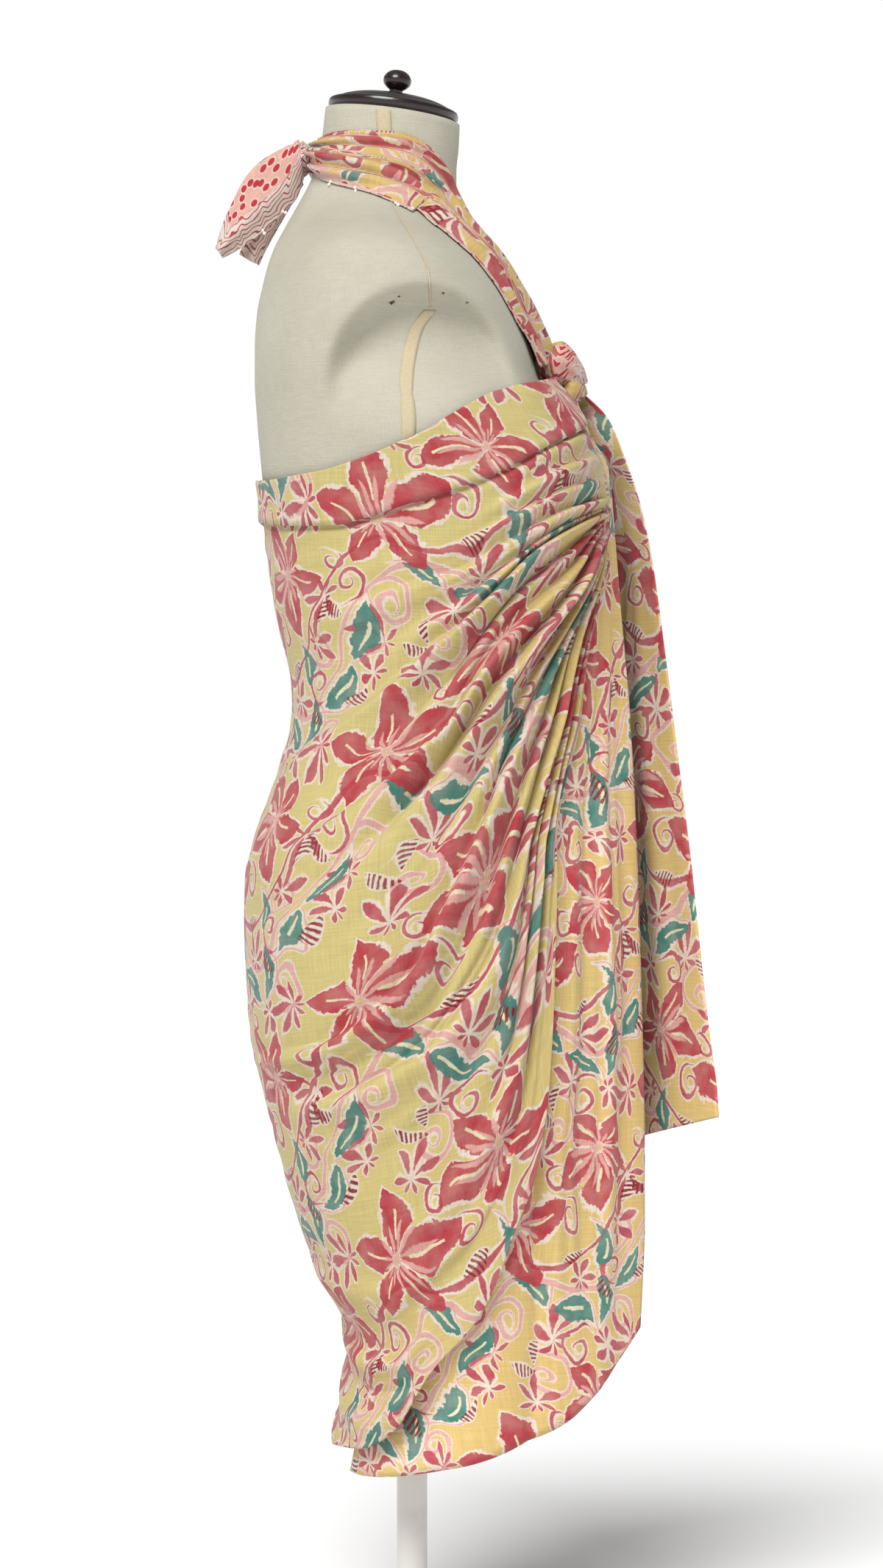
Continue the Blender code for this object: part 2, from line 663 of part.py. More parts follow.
def build_form():
    """Builds the linen-covered form as a loft of sections, closed at the neck and below the hips."""
    heights = np.array([row[0] for row in FORM_RINGS], float)
    extra = np.array(EXTRA_RINGS)
    heights = np.sort(np.concatenate([heights, extra]))
    angles = np.linspace(0.0, 2 * HALF_TURN, FORM_COLUMNS, endpoint=False)
    points = []
    for height in heights:
        points.append(form_points(angles, np.full(FORM_COLUMNS, height), -1))
    vertices = np.concatenate(points)
    faces = []
    for row in range(len(heights) - 1):
        for column in range(FORM_COLUMNS):
            after = (column + 1) % FORM_COLUMNS
            low, high = row * FORM_COLUMNS, (row + 1) * FORM_COLUMNS
            faces.append((low + column, high + column, high + after, low + after))
    last = (len(heights) - 1) * FORM_COLUMNS
    faces.append(tuple(range(FORM_COLUMNS)))
    faces.append(tuple(last + column for column in reversed(range(FORM_COLUMNS))))
    return add_object("dress_form", mesh_from("dress_form", vertices, faces), "linen")


def build_turned(name, profile, steps, finish, place, tilt):
    """Turns a profile about its axis and stands it at a place."""
    edges = [(index, index + 1) for index in range(len(profile) - 1)]
    mesh = bpy.data.meshes.new(name)
    mesh.from_pydata([(radius * MM, 0.0, height * MM) for radius, height in profile], edges, [])
    item = add_object(name, mesh, finish)
    screw = item.modifiers.new("turn", "SCREW")
    screw.steps = steps
    screw.render_steps = steps
    screw.use_merge_vertices = True
    screw.merge_threshold = MERGE
    item.location = tuple(value * MM for value in place)
    item.rotation_euler = (math.radians(tilt), 0.0, 0.0)
    return item


def build_pole():
    """Builds the pole between the base and the underside of the form."""
    low = BASE_HEIGHT + SEAT_GAP
    high = FORM_RINGS[0][0] - SEAT_GAP
    profile = ((0, high), (POLE_RADIUS, high), (POLE_RADIUS, low), (0, low))
    return build_turned("pole", profile, POLE_STEPS, "pale_metal", (0.0, POLE_CENTRE, 0.0), 0.0)


def build_knot(name, knot, finish, turn):
    """Builds a tied knot: a rounded lump with grooves where the cloth wraps round."""
    centre, radii = np.array(knot[:3]), np.array(knot[3:])
    shape = bmesh.new()
    bmesh.ops.create_uvsphere(shape, u_segments=KNOT_SEGMENTS, v_segments=KNOT_ROWS, radius=1.0)
    for vertex in shape.verts:
        across, along, up = vertex.co
        swing = math.atan2(up, along) * KNOT_GROOVES / 2 + KNOT_LEAN * across + turn
        scale = 1.0 + KNOT_GROOVE_DEPTH * math.cos(2 * swing) * (1.0 - across * across)
        spot = centre + np.array([across, along, up]) * radii * scale
        vertex.co = tuple(spot * MM)
    bmesh.ops.recalc_face_normals(shape, faces=shape.faces)
    mesh = bpy.data.meshes.new(name)
    shape.to_mesh(mesh)
    shape.free()
    return add_object(name, mesh, finish)


def clear_scene():
    """Removes what the scene holds before the build."""
    for item in list(bpy.data.objects):
        bpy.data.objects.remove(item, do_unlink=True)


def main():
    """Builds every piece of the part."""
    clear_scene()
    group = bpy.data.collections.new(COLLECTION)
    bpy.context.scene.collection.children.link(group)
    form = build_form()
    cap_place = (0.0, NECK_CENTRE, NECK_TOP + SEAT_GAP)
    build_turned("neck_cap", CAP_PROFILE, CAP_STEPS, "dark_wood", cap_place, NECK_TILT)
    build_turned("neck_knob", KNOB_PROFILE, KNOB_STEPS, "dark_wood", cap_place, NECK_TILT)
    build_pole()
    build_turned("floor_base", BASE_PROFILE, BASE_STEPS, "pale_metal", (0.0, POLE_CENTRE, 0.0), 0.0)
    wrap = build_wrap(form)
    build_fall("near_fall", NEAR_FALL, NEAR_FALL_FOLDS, -1, wrap, NEAR_TUCK_GAP)
    build_fall("far_fall", FAR_FALL, FAR_FALL_FOLDS, 1, wrap, FAR_TUCK_GAP)
    build_knot("chest_knot", CHEST_KNOT, "pink_cotton", 0.0)
    build_strap("near_strap", -1, 0.0, form)
    build_strap("far_strap", 1, FAR_STRAP_DROP, form)
    build_knot("nape_knot", NAPE_KNOT, "pink_cotton", 1.2)
    build_tail("upper_tail", UPPER_TAIL, -1, UPPER_TAIL_REACH)
    build_tail("lower_tail", LOWER_TAIL, 1, LOWER_TAIL_REACH)


main()
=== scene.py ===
"""Printed cotton sarong tied as a halter on a linen dress form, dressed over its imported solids.

Shape tables are in millimetres. The form faces -Y, its near side is -X, and +Z is up from the floor.
"""
import logging
import math
from dataclasses import dataclass
from enum import Enum
from typing import Any, Callable

import bmesh
import bpy
import numpy as np
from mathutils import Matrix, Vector
from mathutils.bvhtree import BVHTree


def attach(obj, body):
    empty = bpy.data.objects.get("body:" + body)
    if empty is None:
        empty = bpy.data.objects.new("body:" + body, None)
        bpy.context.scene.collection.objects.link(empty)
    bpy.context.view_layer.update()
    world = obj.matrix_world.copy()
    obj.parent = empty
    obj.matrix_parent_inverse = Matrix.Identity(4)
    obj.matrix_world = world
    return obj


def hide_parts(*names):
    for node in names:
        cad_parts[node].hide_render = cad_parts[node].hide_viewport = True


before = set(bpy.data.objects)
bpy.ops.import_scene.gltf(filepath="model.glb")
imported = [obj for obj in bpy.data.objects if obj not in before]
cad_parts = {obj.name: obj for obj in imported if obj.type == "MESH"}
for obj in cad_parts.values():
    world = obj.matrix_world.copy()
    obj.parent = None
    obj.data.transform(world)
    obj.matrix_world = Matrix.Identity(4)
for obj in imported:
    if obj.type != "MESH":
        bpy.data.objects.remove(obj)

LOG = logging.getLogger("sarong")
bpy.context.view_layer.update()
MM = 0.001
TINY = 1e-9
HALF_TURN = math.pi
# Steps by which slopes of the form are read, up it and round it
SURFACE_STEP = 0.5
ANGLE_STEP = 0.01
# Distance from the cloth's end that lies beyond its border
FAR_FROM_END = 999.0
BODY = "root"
MATH = "ShaderNodeMath"
VECTOR = "ShaderNodeVectorMath"
MIX = "ShaderNodeMixRGB"
RANGE = "ShaderNodeMapRange"
NOISE = "ShaderNodeTexNoise"

Grid = np.ndarray
Adder = Callable[..., Any]
Material = bpy.types.Material
Object = bpy.types.Object


class Side(Enum):
    """Side of the form that a piece lies on."""

    NEAR = -1
    FAR = 1


# Worn sections and lines, as in the solids
# Sections: height, front, back, half width, power
FORM_RINGS = (
    (520, -92, 124, 160, 2.3), (545, -98, 134, 168, 2.3), (600, -107, 143, 180, 2.3),
    (660, -110, 143, 186, 2.3), (720, -112, 134, 182, 2.3), (780, -109, 117, 165, 2.3),
    (830, -104, 104, 152, 2.3), (870, -101, 103, 147, 2.3), (930, -106, 117, 151, 2.3),
    (990, -124, 129, 161, 2.3), (1040, -146, 136, 170, 2.3), (1080, -153, 140, 176, 2.3),
    (1115, -140, 143, 180, 2.3), (1150, -117, 145, 183, 2.25), (1180, -109, 145, 185, 2.2),
    (1210, -99, 143, 186, 2.15), (1235, -87, 138, 184, 2.1), (1255, -75, 133, 176, 2.0),
    (1272, -62, 127, 156, 1.9), (1288, -53, 119, 128, 1.8), (1304, -46, 110, 101, 1.8),
    (1322, -41, 100, 80, 1.9), (1345, -41, 89, 68, 2.0), (1370, -43, 83, 63, 2.0), (1394, -44, 80, 62, 2.0),
)
WRAP_RINGS = (
    (140, -140, 66, 136, 2.3), (150, -141, 66, 137, 2.3), (217, -147, 60, 142, 2.3),
    (271, -151, 61, 149, 2.3), (326, -156, 85, 159, 2.3), (380, -161, 105, 170, 2.3),
    (434, -166, 120, 180, 2.3), (489, -170, 134, 189, 2.3), (545, -172, 149, 195, 2.3),
    (624, -170, 153, 199, 2.4), (691, -164, 151, 198, 2.4), (734, -160, 144, 192, 2.35),
    (788, -161, 125, 179, 2.3), (843, -166, 109, 171, 2.3), (870, -168, 110, 170, 2.3),
    (924, -176, 123, 170, 2.3), (980, -183, 132, 173, 2.3), (1023, -184, 137, 176, 2.3),
    (1050, -181, 139, 178, 2.35), (1077, -173, 141, 180, 2.35), (1104, -160, 143, 183, 2.35),
    (1131, -142, 145, 186, 2.38), (1149, -127, 146, 187, 2.4), (1170, -120, 147, 188, 2.4),
)
# Guides of the wrap: place, start angle, start and end height, then depth and height of each point
WRAP_GUIDES = (
    (0.00, 6.0, 1149, 1058, ((-80, 1124), (-40, 1102), (-1, 1083), (38, 1067), (78, 1057), (120, 1053))),
    (0.08, 7.0, 1112, 1024, ((-120, 1080), (-80, 1057), (-34, 1039), (18, 1023), (68, 1011), (105, 1013))),
    (0.22, 12.0, 1040, 905, ((-141, 1023), (-88, 993), (-40, 964), (12, 945), (70, 922))),
    (0.36, 12.5, 1028, 770,
     ((-155, 1009), (-107, 975), (-65, 928), (-27, 885), (14, 844), (74, 806), (100, 790))),
    (0.50, 13.8, 1016, 650,
     ((-168, 1001), (-146, 962), (-101, 909), (-61, 857), (-20, 798), (20, 755), (80, 700), (125, 668))),
    (0.64, 15.0, 1004, 532,
     ((-175, 991), (-159, 952), (-133, 901), (-96, 823), (-64, 743), (-24, 649), (0, 603),
      (37, 570), (84, 545))),
    (0.78, 16.2, 992, 462,
     ((-148, 915), (-130, 834), (-109, 755), (-94, 690), (-77, 627), (-44, 572), (-1, 527), (53, 495))),
    (0.90, 16.6, 986, 318,
     ((-146, 880), (-127, 790), (-112, 700), (-106, 620), (-98, 540), (-80, 470), (-45, 405),
      (0, 355), (40, 328))),
    (1.00, 14.5, 980, 172,
     ((-157, 902), (-146, 830), (-126, 748), (-124, 691), (-122, 624), (-119, 545), (-106, 434), (-85, 373),
      (-72, 331), (-47, 287), (-21, 257), (-6, 225), (11, 196), (38, 178))),
)
# Folds of the wrap: place, half width, near height, far height, fade from, fade to
WRAP_FOLDS = (
    (0.105, 0.020, 7.0, 4.0, 0.12, 0.34),
    (0.148, 0.022, 9.0, 5.0, 0.18, 0.44),
    (0.190, 0.030, 5.0, 5.0, 0.30, 0.55),
    (0.245, 0.034, 11.0, 7.0, 0.45, 0.80),
    (0.305, 0.028, 6.0, 9.0, 0.35, 0.62),
    (0.365, 0.038, 15.0, 8.0, 0.60, 0.95),
    (0.430, 0.028, 7.0, 11.0, 0.30, 0.55),
    (0.490, 0.036, 14.0, 13.0, 0.50, 0.85),
    (0.555, 0.036, 16.0, 8.0, 0.60, 0.92),
    (0.615, 0.028, 8.0, 13.0, 0.36, 0.62),
    (0.675, 0.038, 17.0, 11.0, 0.65, 0.97),
    (0.740, 0.028, 8.0, 9.0, 0.40, 0.70),
    (0.800, 0.036, 15.0, 14.0, 0.60, 0.92),
    (0.860, 0.026, 7.0, 11.0, 0.40, 0.68),
    (0.910, 0.030, 12.0, 7.0, 0.50, 0.85),
    (0.965, 0.024, 8.0, 8.0, 0.45, 0.80),
)
# Folds bunched at the lower back: place, half width, height, from and to round the body
LOW_FOLDS = (
    (0.895, 0.022, 5.0, 0.50, 0.80),
    (0.934, 0.012, 10.0, 0.74, 0.90),
    (0.948, 0.006, -4.0, 0.70, 0.88),
    (0.968, 0.017, 9.0, 0.55, 0.82),
    (0.992, 0.008, 7.0, 0.80, 0.93),
)
# Fine creases of the wrap: place, half width, near depth, far depth, from, to
FINE_CREASES = (
    (0.125, 0.010, 0.8, 0.5, 0.10, 0.45),
    (0.160, 0.012, 1.2, 0.9, 0.04, 0.50),
    (0.185, 0.010, -0.9, 1.0, 0.10, 0.60),
    (0.235, 0.011, -1.6, -0.8, 0.16, 0.72),
    (0.288, 0.010, -2.0, -1.4, 0.10, 0.55),
    (0.345, 0.010, 1.6, -1.8, 0.20, 0.80),
    (0.398, 0.009, -2.2, 1.3, 0.08, 0.60),
    (0.452, 0.010, 1.8, -2.0, 0.24, 0.86),
    (0.512, 0.010, -2.4, -1.5, 0.12, 0.70),
    (0.572, 0.009, 1.5, 1.9, 0.30, 0.90),
    (0.632, 0.010, -2.6, -2.0, 0.14, 0.78),
    (0.690, 0.009, 1.6, -1.6, 0.34, 0.95),
    (0.750, 0.010, -2.2, 1.7, 0.16, 0.82),
    (0.812, 0.009, 1.7, -2.0, 0.40, 0.96),
    (0.870, 0.009, -1.8, 1.2, 0.22, 0.90),
    (0.930, 0.009, 1.4, -1.4, 0.44, 0.98),
)
# Falls: place down the cloth, rear depth, rear height, leaving depth, leaving height, then across, depth and
# height of the edge
NEAR_FALL = (
    (0.00, -132, 1121, -137.5, 1132, 9, -149, 1141), (0.04, -146, 1092, -155, 1098, 16, -164, 1100),
    (0.08, -158, 1062, -171, 1064, 20, -181, 1067), (0.14, -152, 1000, -178, 1000, 24, -187, 1002),
    (0.20, -138, 930, -167, 932, 28, -192, 937), (0.29, -118, 840, -146, 845, 33, -199, 852),
    (0.38, -98, 745, -126, 750, 38, -204, 757), (0.50, -92, 640, -122, 645, 42, -208, 655),
    (0.62, -85, 540, -119, 545, 44, -211, 560), (0.74, -55, 430, -107, 440, 45, -213, 455),
    (0.84, 0, 330, -108, 352, 45, -213, 375), (0.93, 40, 235, -112, 265, 45, -211, 322),
    (1.00, 60, 151, -108, 186, 44, -209, 281),
)
FAR_FALL = (
    (0.00, -134, 1121, -140.6, 1130, 7, -156, 1142), (0.04, -150, 1096, -158.5, 1106, 2, -181, 1116),
    (0.09, -160, 1066, -173.0, 1072, -6, -196, 1080), (0.15, -150, 1020, -180.0, 1024, -10, -211, 1034),
    (0.23, -140, 960, -170, 966, -16, -223, 974), (0.34, -124, 880, -152, 886, -24, -233, 894),
    (0.46, -105, 785, -132, 792, -34, -243, 800), (0.58, -97, 690, -124, 697, -42, -254, 706),
    (0.70, -92, 600, -122, 608, -48, -263, 622), (0.81, -80, 515, -119, 530, -52, -272, 548),
    (0.91, -45, 400, -113, 455, -54, -279, 500), (1.00, 0, 290, -110, 412, -55, -281, 474),
)
# Folds of a fall: place across, half width, height, start down the cloth, full down the cloth
NEAR_FALL_FOLDS = (
    (0.475, 0.045, -9.0, 0.15, 0.35), (0.60, 0.055, 5.5, 0.12, 0.50), (0.71, 0.060, -5.5, 0.10, 0.55),
    (0.81, 0.055, 6.5, 0.08, 0.45), (0.91, 0.060, -4.5, 0.12, 0.60), (0.66, 0.018, 1.6, 0.05, 0.30),
    (0.76, 0.016, -1.4, 0.35, 0.80), (0.86, 0.016, 1.5, 0.20, 0.55), (0.56, 0.016, -1.4, 0.55, 0.90),
)
FAR_FALL_FOLDS = (
    (0.55, 0.045, 4.0, 0.25, 0.60), (0.63, 0.060, -6.5, 0.12, 0.50), (0.74, 0.060, 7.5, 0.10, 0.45),
    (0.87, 0.055, -5.0, 0.10, 0.55), (0.69, 0.016, 1.5, 0.30, 0.65), (0.80, 0.016, -1.6, 0.15, 0.50),
    (0.93, 0.018, 1.5, 0.45, 0.85),
)
# Straps: angle and height on the form, width
STRAP_PATH = (
    (5.6, 1168, 36), (9.4, 1204, 45), (14.8, 1232, 49), (21.6, 1259, 50), (32.0, 1287, 51), (46.0, 1315, 54),
    (76.0, 1336, 58), (108.0, 1344, 52), (142.0, 1350, 40), (167.0, 1354, 27),
)
# Knots: across, depth, height, then the three radii
CHEST_KNOT = (-4.0, -138.1, 1157.0, 27.0, 21.5, 22.0)
NAPE_KNOT = (0.0, 101.9, 1354.0, 22.0, 13.0, 17.5)
# Rolls of the knots: start, middle, end, radii, folds round, distance from the cloth's end at start and end
CHEST_ROLLS = (
    ((0, 24, 14), (0, 1, 0), (0, -20, -14), (11, 21, 9), 3, (70, 30)),
    ((-8, 30, 8), (-19, 5, 6), (-7, -24, -8), (9, 19, 9), 4, (90, 2)),
    ((8, 28, 8), (18, 2, 4), (7, -24, -8), (9, 18, 8), 4, (60, 8)),
    ((-6, 8, -13), (-15, -6, -17), (0, -24, -19), (7, 12, 7), 3, (90, 60)),
    ((-3, 22, 15), (-12, 4, 16), (-2, -14, 8), (7, 12, 7), 3, (90, 40)),
)
NAPE_ROLLS = (
    ((0, -2, 16), (0, 0, 0), (0, 2, -16), (6, 12, 6), 3, (20, 4)),
    ((-7, -1, 17), (-13, 0, 1), (-7, 2, -16), (5, 9, 5), 3, (16, 2)),
    ((7, -1, 16), (13, 0, 0), (7, 1, -16), (5, 9, 5), 3, (16, 2)),
)
# Tails: across, upper depth, upper height, lower depth, lower height
UPPER_TAIL = (
    (-14, 104, 1371, 100, 1336), (-20, 121, 1361, 106, 1317), (-24, 138, 1350, 117, 1304),
    (-25, 153, 1334, 130, 1291), (-25, 165, 1311, 144, 1279), (-24, 175, 1288, 159, 1269),
    (-23, 180, 1270, 174, 1261),
)
LOWER_TAIL = (
    (6, 106, 1347, 101, 1333), (6, 127, 1320, 116, 1307), (7, 141, 1301, 128, 1286),
    (7, 154, 1282, 137, 1269), (7, 160, 1268, 142, 1258),
)


# Curves, sections and grids
def slopes(places: Grid, values: Grid) -> Grid:
    """Finds the slope of a curve with no overshoot at each place.

    Args:
        places: Rising places.
        values: Value at each place.

    Returns:
        Slope at each place.
    """
    step = np.diff(places)
    rise = np.diff(values, axis=0) / step.reshape((-1,) + (1,) * (values.ndim - 1))
    result = np.zeros_like(values)
    result[0] = rise[0]
    result[-1] = rise[-1]
    before, after = rise[:-1], rise[1:]
    total = before + after
    same = before * after > 0
    result[1:-1] = np.where(same, 2.0 * before * after / np.where(same, total, 1.0), 0.0)
    return result


def curve(places: Any, values: Any, at: Any) -> Grid:
    """Reads a smooth curve through a table.

    Args:
        places: Rising places of the table.
        values: Rows of the table.
        at: Where to read it.

    Returns:
        Value at each place read.
    """
    places = np.asarray(places, float)
    values = np.asarray(values, float)
    at = np.clip(np.asarray(at, float), places[0], places[-1])
    index = np.clip(np.searchsorted(places, at) - 1, 0, len(places) - 2)
    step = places[index + 1] - places[index]
    part = (at - places[index]) / step
    shape = part.shape + (1,) * (values.ndim - 1)
    part, step = part.reshape(shape), step.reshape(shape)
    tangent = slopes(places, values)
    start, end = values[index], values[index + 1]
    square, cube = part ** 2, part ** 3
    return (
        (2 * cube - 3 * square + 1) * start
        + (cube - 2 * square + part) * step * tangent[index]
        + (3 * square - 2 * cube) * end
        + (cube - square) * step * tangent[index + 1]
    )


def ease(low: float, high: float, value: Any) -> Grid:
    """Goes smoothly from nought at low to one at high."""
    part = np.clip((np.asarray(value, float) - low) / (high - low), 0.0, 1.0)
    return part * part * (3.0 - 2.0 * part)


def signed_power(value: Grid, power: Any) -> Grid:
    """Raises the size of a value to a power and keeps its sign."""
    return np.sign(value) * np.abs(value) ** power


def ring_at(rings: tuple, height: Any) -> tuple[Grid, Grid, Grid, Grid]:
    """Reads the section at a height.

    Args:
        rings: Section table.
        height: Where to read it.

    Returns:
        Front, back, half width and power.
    """
    table = np.asarray(rings, float)
    found = curve(table[:, 0], table[:, 1:], height)
    return found[..., 0], found[..., 1], found[..., 2], found[..., 3]


def ring_points(rings: tuple, angle: Grid, height: Grid, side: int) -> Grid:
    """Finds points of a section.

    Args:
        rings: Section table.
        angle: Nought at the front, half a turn at the back.
        height: Height of each point.
        side: -1 on the near side, 1 on the far side.

    Returns:
        Points with a last axis of three.
    """
    front, back, width, power = ring_at(rings, height)
    middle, depth = (front + back) / 2, (back - front) / 2
    across = side * width * signed_power(np.sin(angle), 2 / power)
    along = middle - depth * signed_power(np.cos(angle), 2 / power)
    return np.stack([across, along, np.broadcast_to(height, across.shape)], axis=-1)


def side_angle(rings: tuple, depth_place: Grid, height: Grid) -> Grid:
    """Finds the angle of a section's point, as seen from the side.

    Args:
        rings: Section table.
        depth_place: Depth of the point.
        height: Height of the point.

    Returns:
        Nought at the front, half a turn at the back.
    """
    front, back, _, power = ring_at(rings, height)
    middle, depth = (front + back) / 2, (back - front) / 2
    cosine = np.clip((middle - depth_place) / depth, -1.0, 1.0)
    return np.arccos(signed_power(cosine, power / 2))


def ridge(offset: Grid, half_width: Any, steep: float = 0.0) -> Grid:
    """Draws the cross section of a fold.

    Args:
        offset: Distance from the fold's middle.
        half_width: Half of its width.
        steep: How much steeper it is before its middle.

    Returns:
        One at the middle, nought at half a width to each side.
    """
    part = np.clip(offset / half_width, -1.0, 1.0)
    part = part + steep * (1.0 - part * part)
    return 0.5 + 0.5 * np.cos(HALF_TURN * np.clip(part, -1.0, 1.0))


def grid_normals(points: Grid, outward: Grid) -> Grid:
    """Finds the unit normals of a grid.

    Args:
        points: Grid of points.
        outward: Rough outward direction at each point.

    Returns:
        Normals that face outward.
    """
    normal = np.cross(np.gradient(points, axis=0), np.gradient(points, axis=1))
    normal /= np.maximum(np.linalg.norm(normal, axis=-1, keepdims=True), TINY)
    facing = np.sum(normal * outward, axis=-1)
    return normal * (1.0 if np.median(facing) > 0 else -1.0)


def level_out(points: Grid, depth: float) -> Grid:
    """Finds level unit directions away from the neck's upright line.

    Args:
        points: Where they are wanted.
        depth: Depth of that line.

    Returns:
        Direction at each point.
    """
    outward = points - np.array([0.0, depth, 0.0])
    outward[..., 2] = 0.0
    return outward / np.maximum(np.linalg.norm(outward, axis=-1, keepdims=True), TINY)


def keep_clear(points: Grid, knot: tuple, reach: float) -> Grid:
    """Moves points that would enter a knot.

    Args:
        points: Grid of points.
        knot: Centre and radii of the knot.
        reach: Least distance from its surface.

    Returns:
        Moved points.
    """
    centre = np.array(knot[:3])
    radii = np.array(knot[3:]) + reach
    offset = (points - centre) / radii
    size = np.maximum(np.linalg.norm(offset, axis=-1, keepdims=True), TINY)
    return np.where(size < 1.0, centre + offset / size * radii, points)


def arc_lengths(points: Grid, axis: int) -> Grid:
    """Measures along an axis of a grid.

    Args:
        points: Grid of points.
        axis: Which axis.

    Returns:
        Running length at each point.
    """
    step = np.linalg.norm(np.diff(points, axis=axis), axis=-1)
    start = np.zeros(points.shape[:-1]).take([0], axis=axis)
    return np.concatenate([start, np.cumsum(step, axis=axis)], axis=axis)


def grid_faces(rows: int, columns: int) -> np.ndarray:
    """Returns the four corners of each face of a grid."""
    first = (np.arange(rows - 1)[:, None] * columns + np.arange(columns - 1)[None, :]).ravel()
    return np.stack([first, first + 1, first + columns + 1, first + columns], axis=-1)


def facing_faces(points: Grid, outward: Grid) -> np.ndarray:
    """Finds the faces of a grid.

    Args:
        points: Grid of points.
        outward: Rough outward direction at each point.

    Returns:
        Corners of each face, in the order that faces outward.
    """
    faces = grid_faces(*points.shape[:2])
    normal = np.cross(np.gradient(points, axis=1), np.gradient(points, axis=0))
    return faces if np.median(np.sum(normal * outward, axis=-1)) > 0 else faces[:, ::-1]


def tree_of(points: Grid, outward: Grid) -> BVHTree:
    """Returns the search tree of a grid's faces, which face outward."""
    return BVHTree.FromPolygons(points.reshape(-1, 3).tolist(), facing_faces(points, outward).tolist())


def lay_over(points: Grid, tree: BVHTree, gap: float) -> Grid:
    """Moves points out so that each is at least a gap above the surface below it.

    Args:
        points: Grid of points.
        tree: Search tree of the surface.
        gap: Least distance.

    Returns:
        Moved points.
    """
    flat = points.reshape(-1, 3).copy()
    for index, point in enumerate(flat):
        spot, normal, _, _ = tree.find_nearest(Vector(point))
        height = (Vector(point) - spot).dot(normal)
        if height < gap:
            flat[index] = point + np.array(normal) * (gap - height)
    return flat.reshape(points.shape)


def tuck_under(points: Grid, tree: BVHTree, gap: float, reach: float, beside: float) -> Grid:
    """Moves points that lie under another sheet, or touch it, to a gap below it.

    Args:
        points: Grid of points.
        tree: Search tree of the sheet above.
        gap: Least distance below it.
        reach: How far the sheet is looked for.
        beside: How far past its edge it still counts.

    Returns:
        Moved points.
    """
    flat = points.reshape(-1, 3).copy()
    for index, point in enumerate(flat):
        spot, normal, _, _ = tree.find_nearest(Vector(point), reach)
        if spot is None:
            continue
        offset = Vector(point) - spot
        height = offset.dot(normal)
        if height > -gap and (offset - normal * height).length < beside:
            flat[index] = point - np.array(normal) * (height + gap)
    return flat.reshape(points.shape)


# Finishes
def linear(code: str) -> tuple[float, float, float, float]:
    """Turns an sRGB hex colour to linear light.

    Args:
        code: A hash and six hex digits.

    Returns:
        Red, green, blue and full opacity.
    """
    parts = [int(code[start:start + 2], 16) / 255 for start in (1, 3, 5)]
    light = [part / 12.92 if part <= 0.04045 else ((part + 0.055) / 1.055) ** 2.4 for part in parts]
    return (*light, 1.0)


class Recipe:
    """Node tree of one material, filled a node at a time."""

    def __init__(self, name: str, roughness: float, ior: float = 1.5, metallic: float = 0.0) -> None:
        """Starts a material.

        Args:
            name: Material name.
            roughness: Its typical roughness.
            ior: Its typical index of refraction.
            metallic: One for a bare metal.
        """
        self.material = bpy.data.materials.new(name)
        self.material.use_nodes = True
        self.tree = self.material.node_tree
        self.shader = self.tree.nodes["Principled BSDF"]
        self.shader.inputs["Roughness"].default_value = roughness
        self.shader.inputs["IOR"].default_value = ior
        self.shader.inputs["Metallic"].default_value = metallic

    def add(self, kind: str, *values: Any, named: dict[str, Any] | None = None, out: int = 0,
            **settings: Any) -> Any:
        """Adds a node with its settings and links.

        Args:
            kind: Node type.
            values: Values or links of the first inputs, in order. None leaves one as it is.
            named: Values or links of inputs by name.
            out: Which output is wanted.
            settings: The node's own settings.

        Returns:
            The output socket.
        """
        node = self.tree.nodes.new(kind)
        for name, value in settings.items():
            setattr(node, name, value)
        pairs = list(zip(node.inputs, values))
        pairs += [(node.inputs[name], value) for name, value in (named or {}).items()]
        for socket, value in pairs:
            if isinstance(value, bpy.types.NodeSocket):
                self.tree.links.new(value, socket)
            elif value is not None:
                socket.default_value = value
        return node.outputs[out]

    def colour(self, value: Any) -> None:
        """Gives the material its colour.

        Args:
            value: The colour, or a link to it.
        """
        if isinstance(value, bpy.types.NodeSocket):
            self.tree.links.new(value, self.shader.inputs["Base Color"])
        else:
            self.shader.inputs["Base Color"].default_value = value

    def weave(self, place: Any, weft: tuple, warp: tuple, **settings: Any) -> Any:
        """Draws thick and thin threads both ways.

        Args:
            place: Place on the cloth.
            weft: Threads for each unit of place, three ways.
            warp: The same for the threads that cross them.
            settings: Settings of the noise.

        Returns:
            Height of the threads.
        """
        drawn = []
        for stretch in (weft, warp):
            stretched = self.add(VECTOR, place, stretch, operation="MULTIPLY")
            drawn.append(self.add(NOISE, stretched, named={"Scale": 1.0, "Detail": 2.0}, **settings))
        return self.add(MATH, *drawn, operation="ADD")

    def bump(self, height: Any, strength: float, distance: float) -> None:
        """Raises the surface by a height."""
        named = {"Strength": strength, "Distance": distance, "Height": height}
        self.tree.links.new(self.add("ShaderNodeBump", named=named), self.shader.inputs["Normal"])


class Motif(Enum):
    """Shape of one block of the print."""

    FLOWER = "flower"
    LEAF = "leaf"
    COMB = "comb"
    CURL = "curl"
    PALE_CURL = "pale curl"
    SPRIG = "sprig"


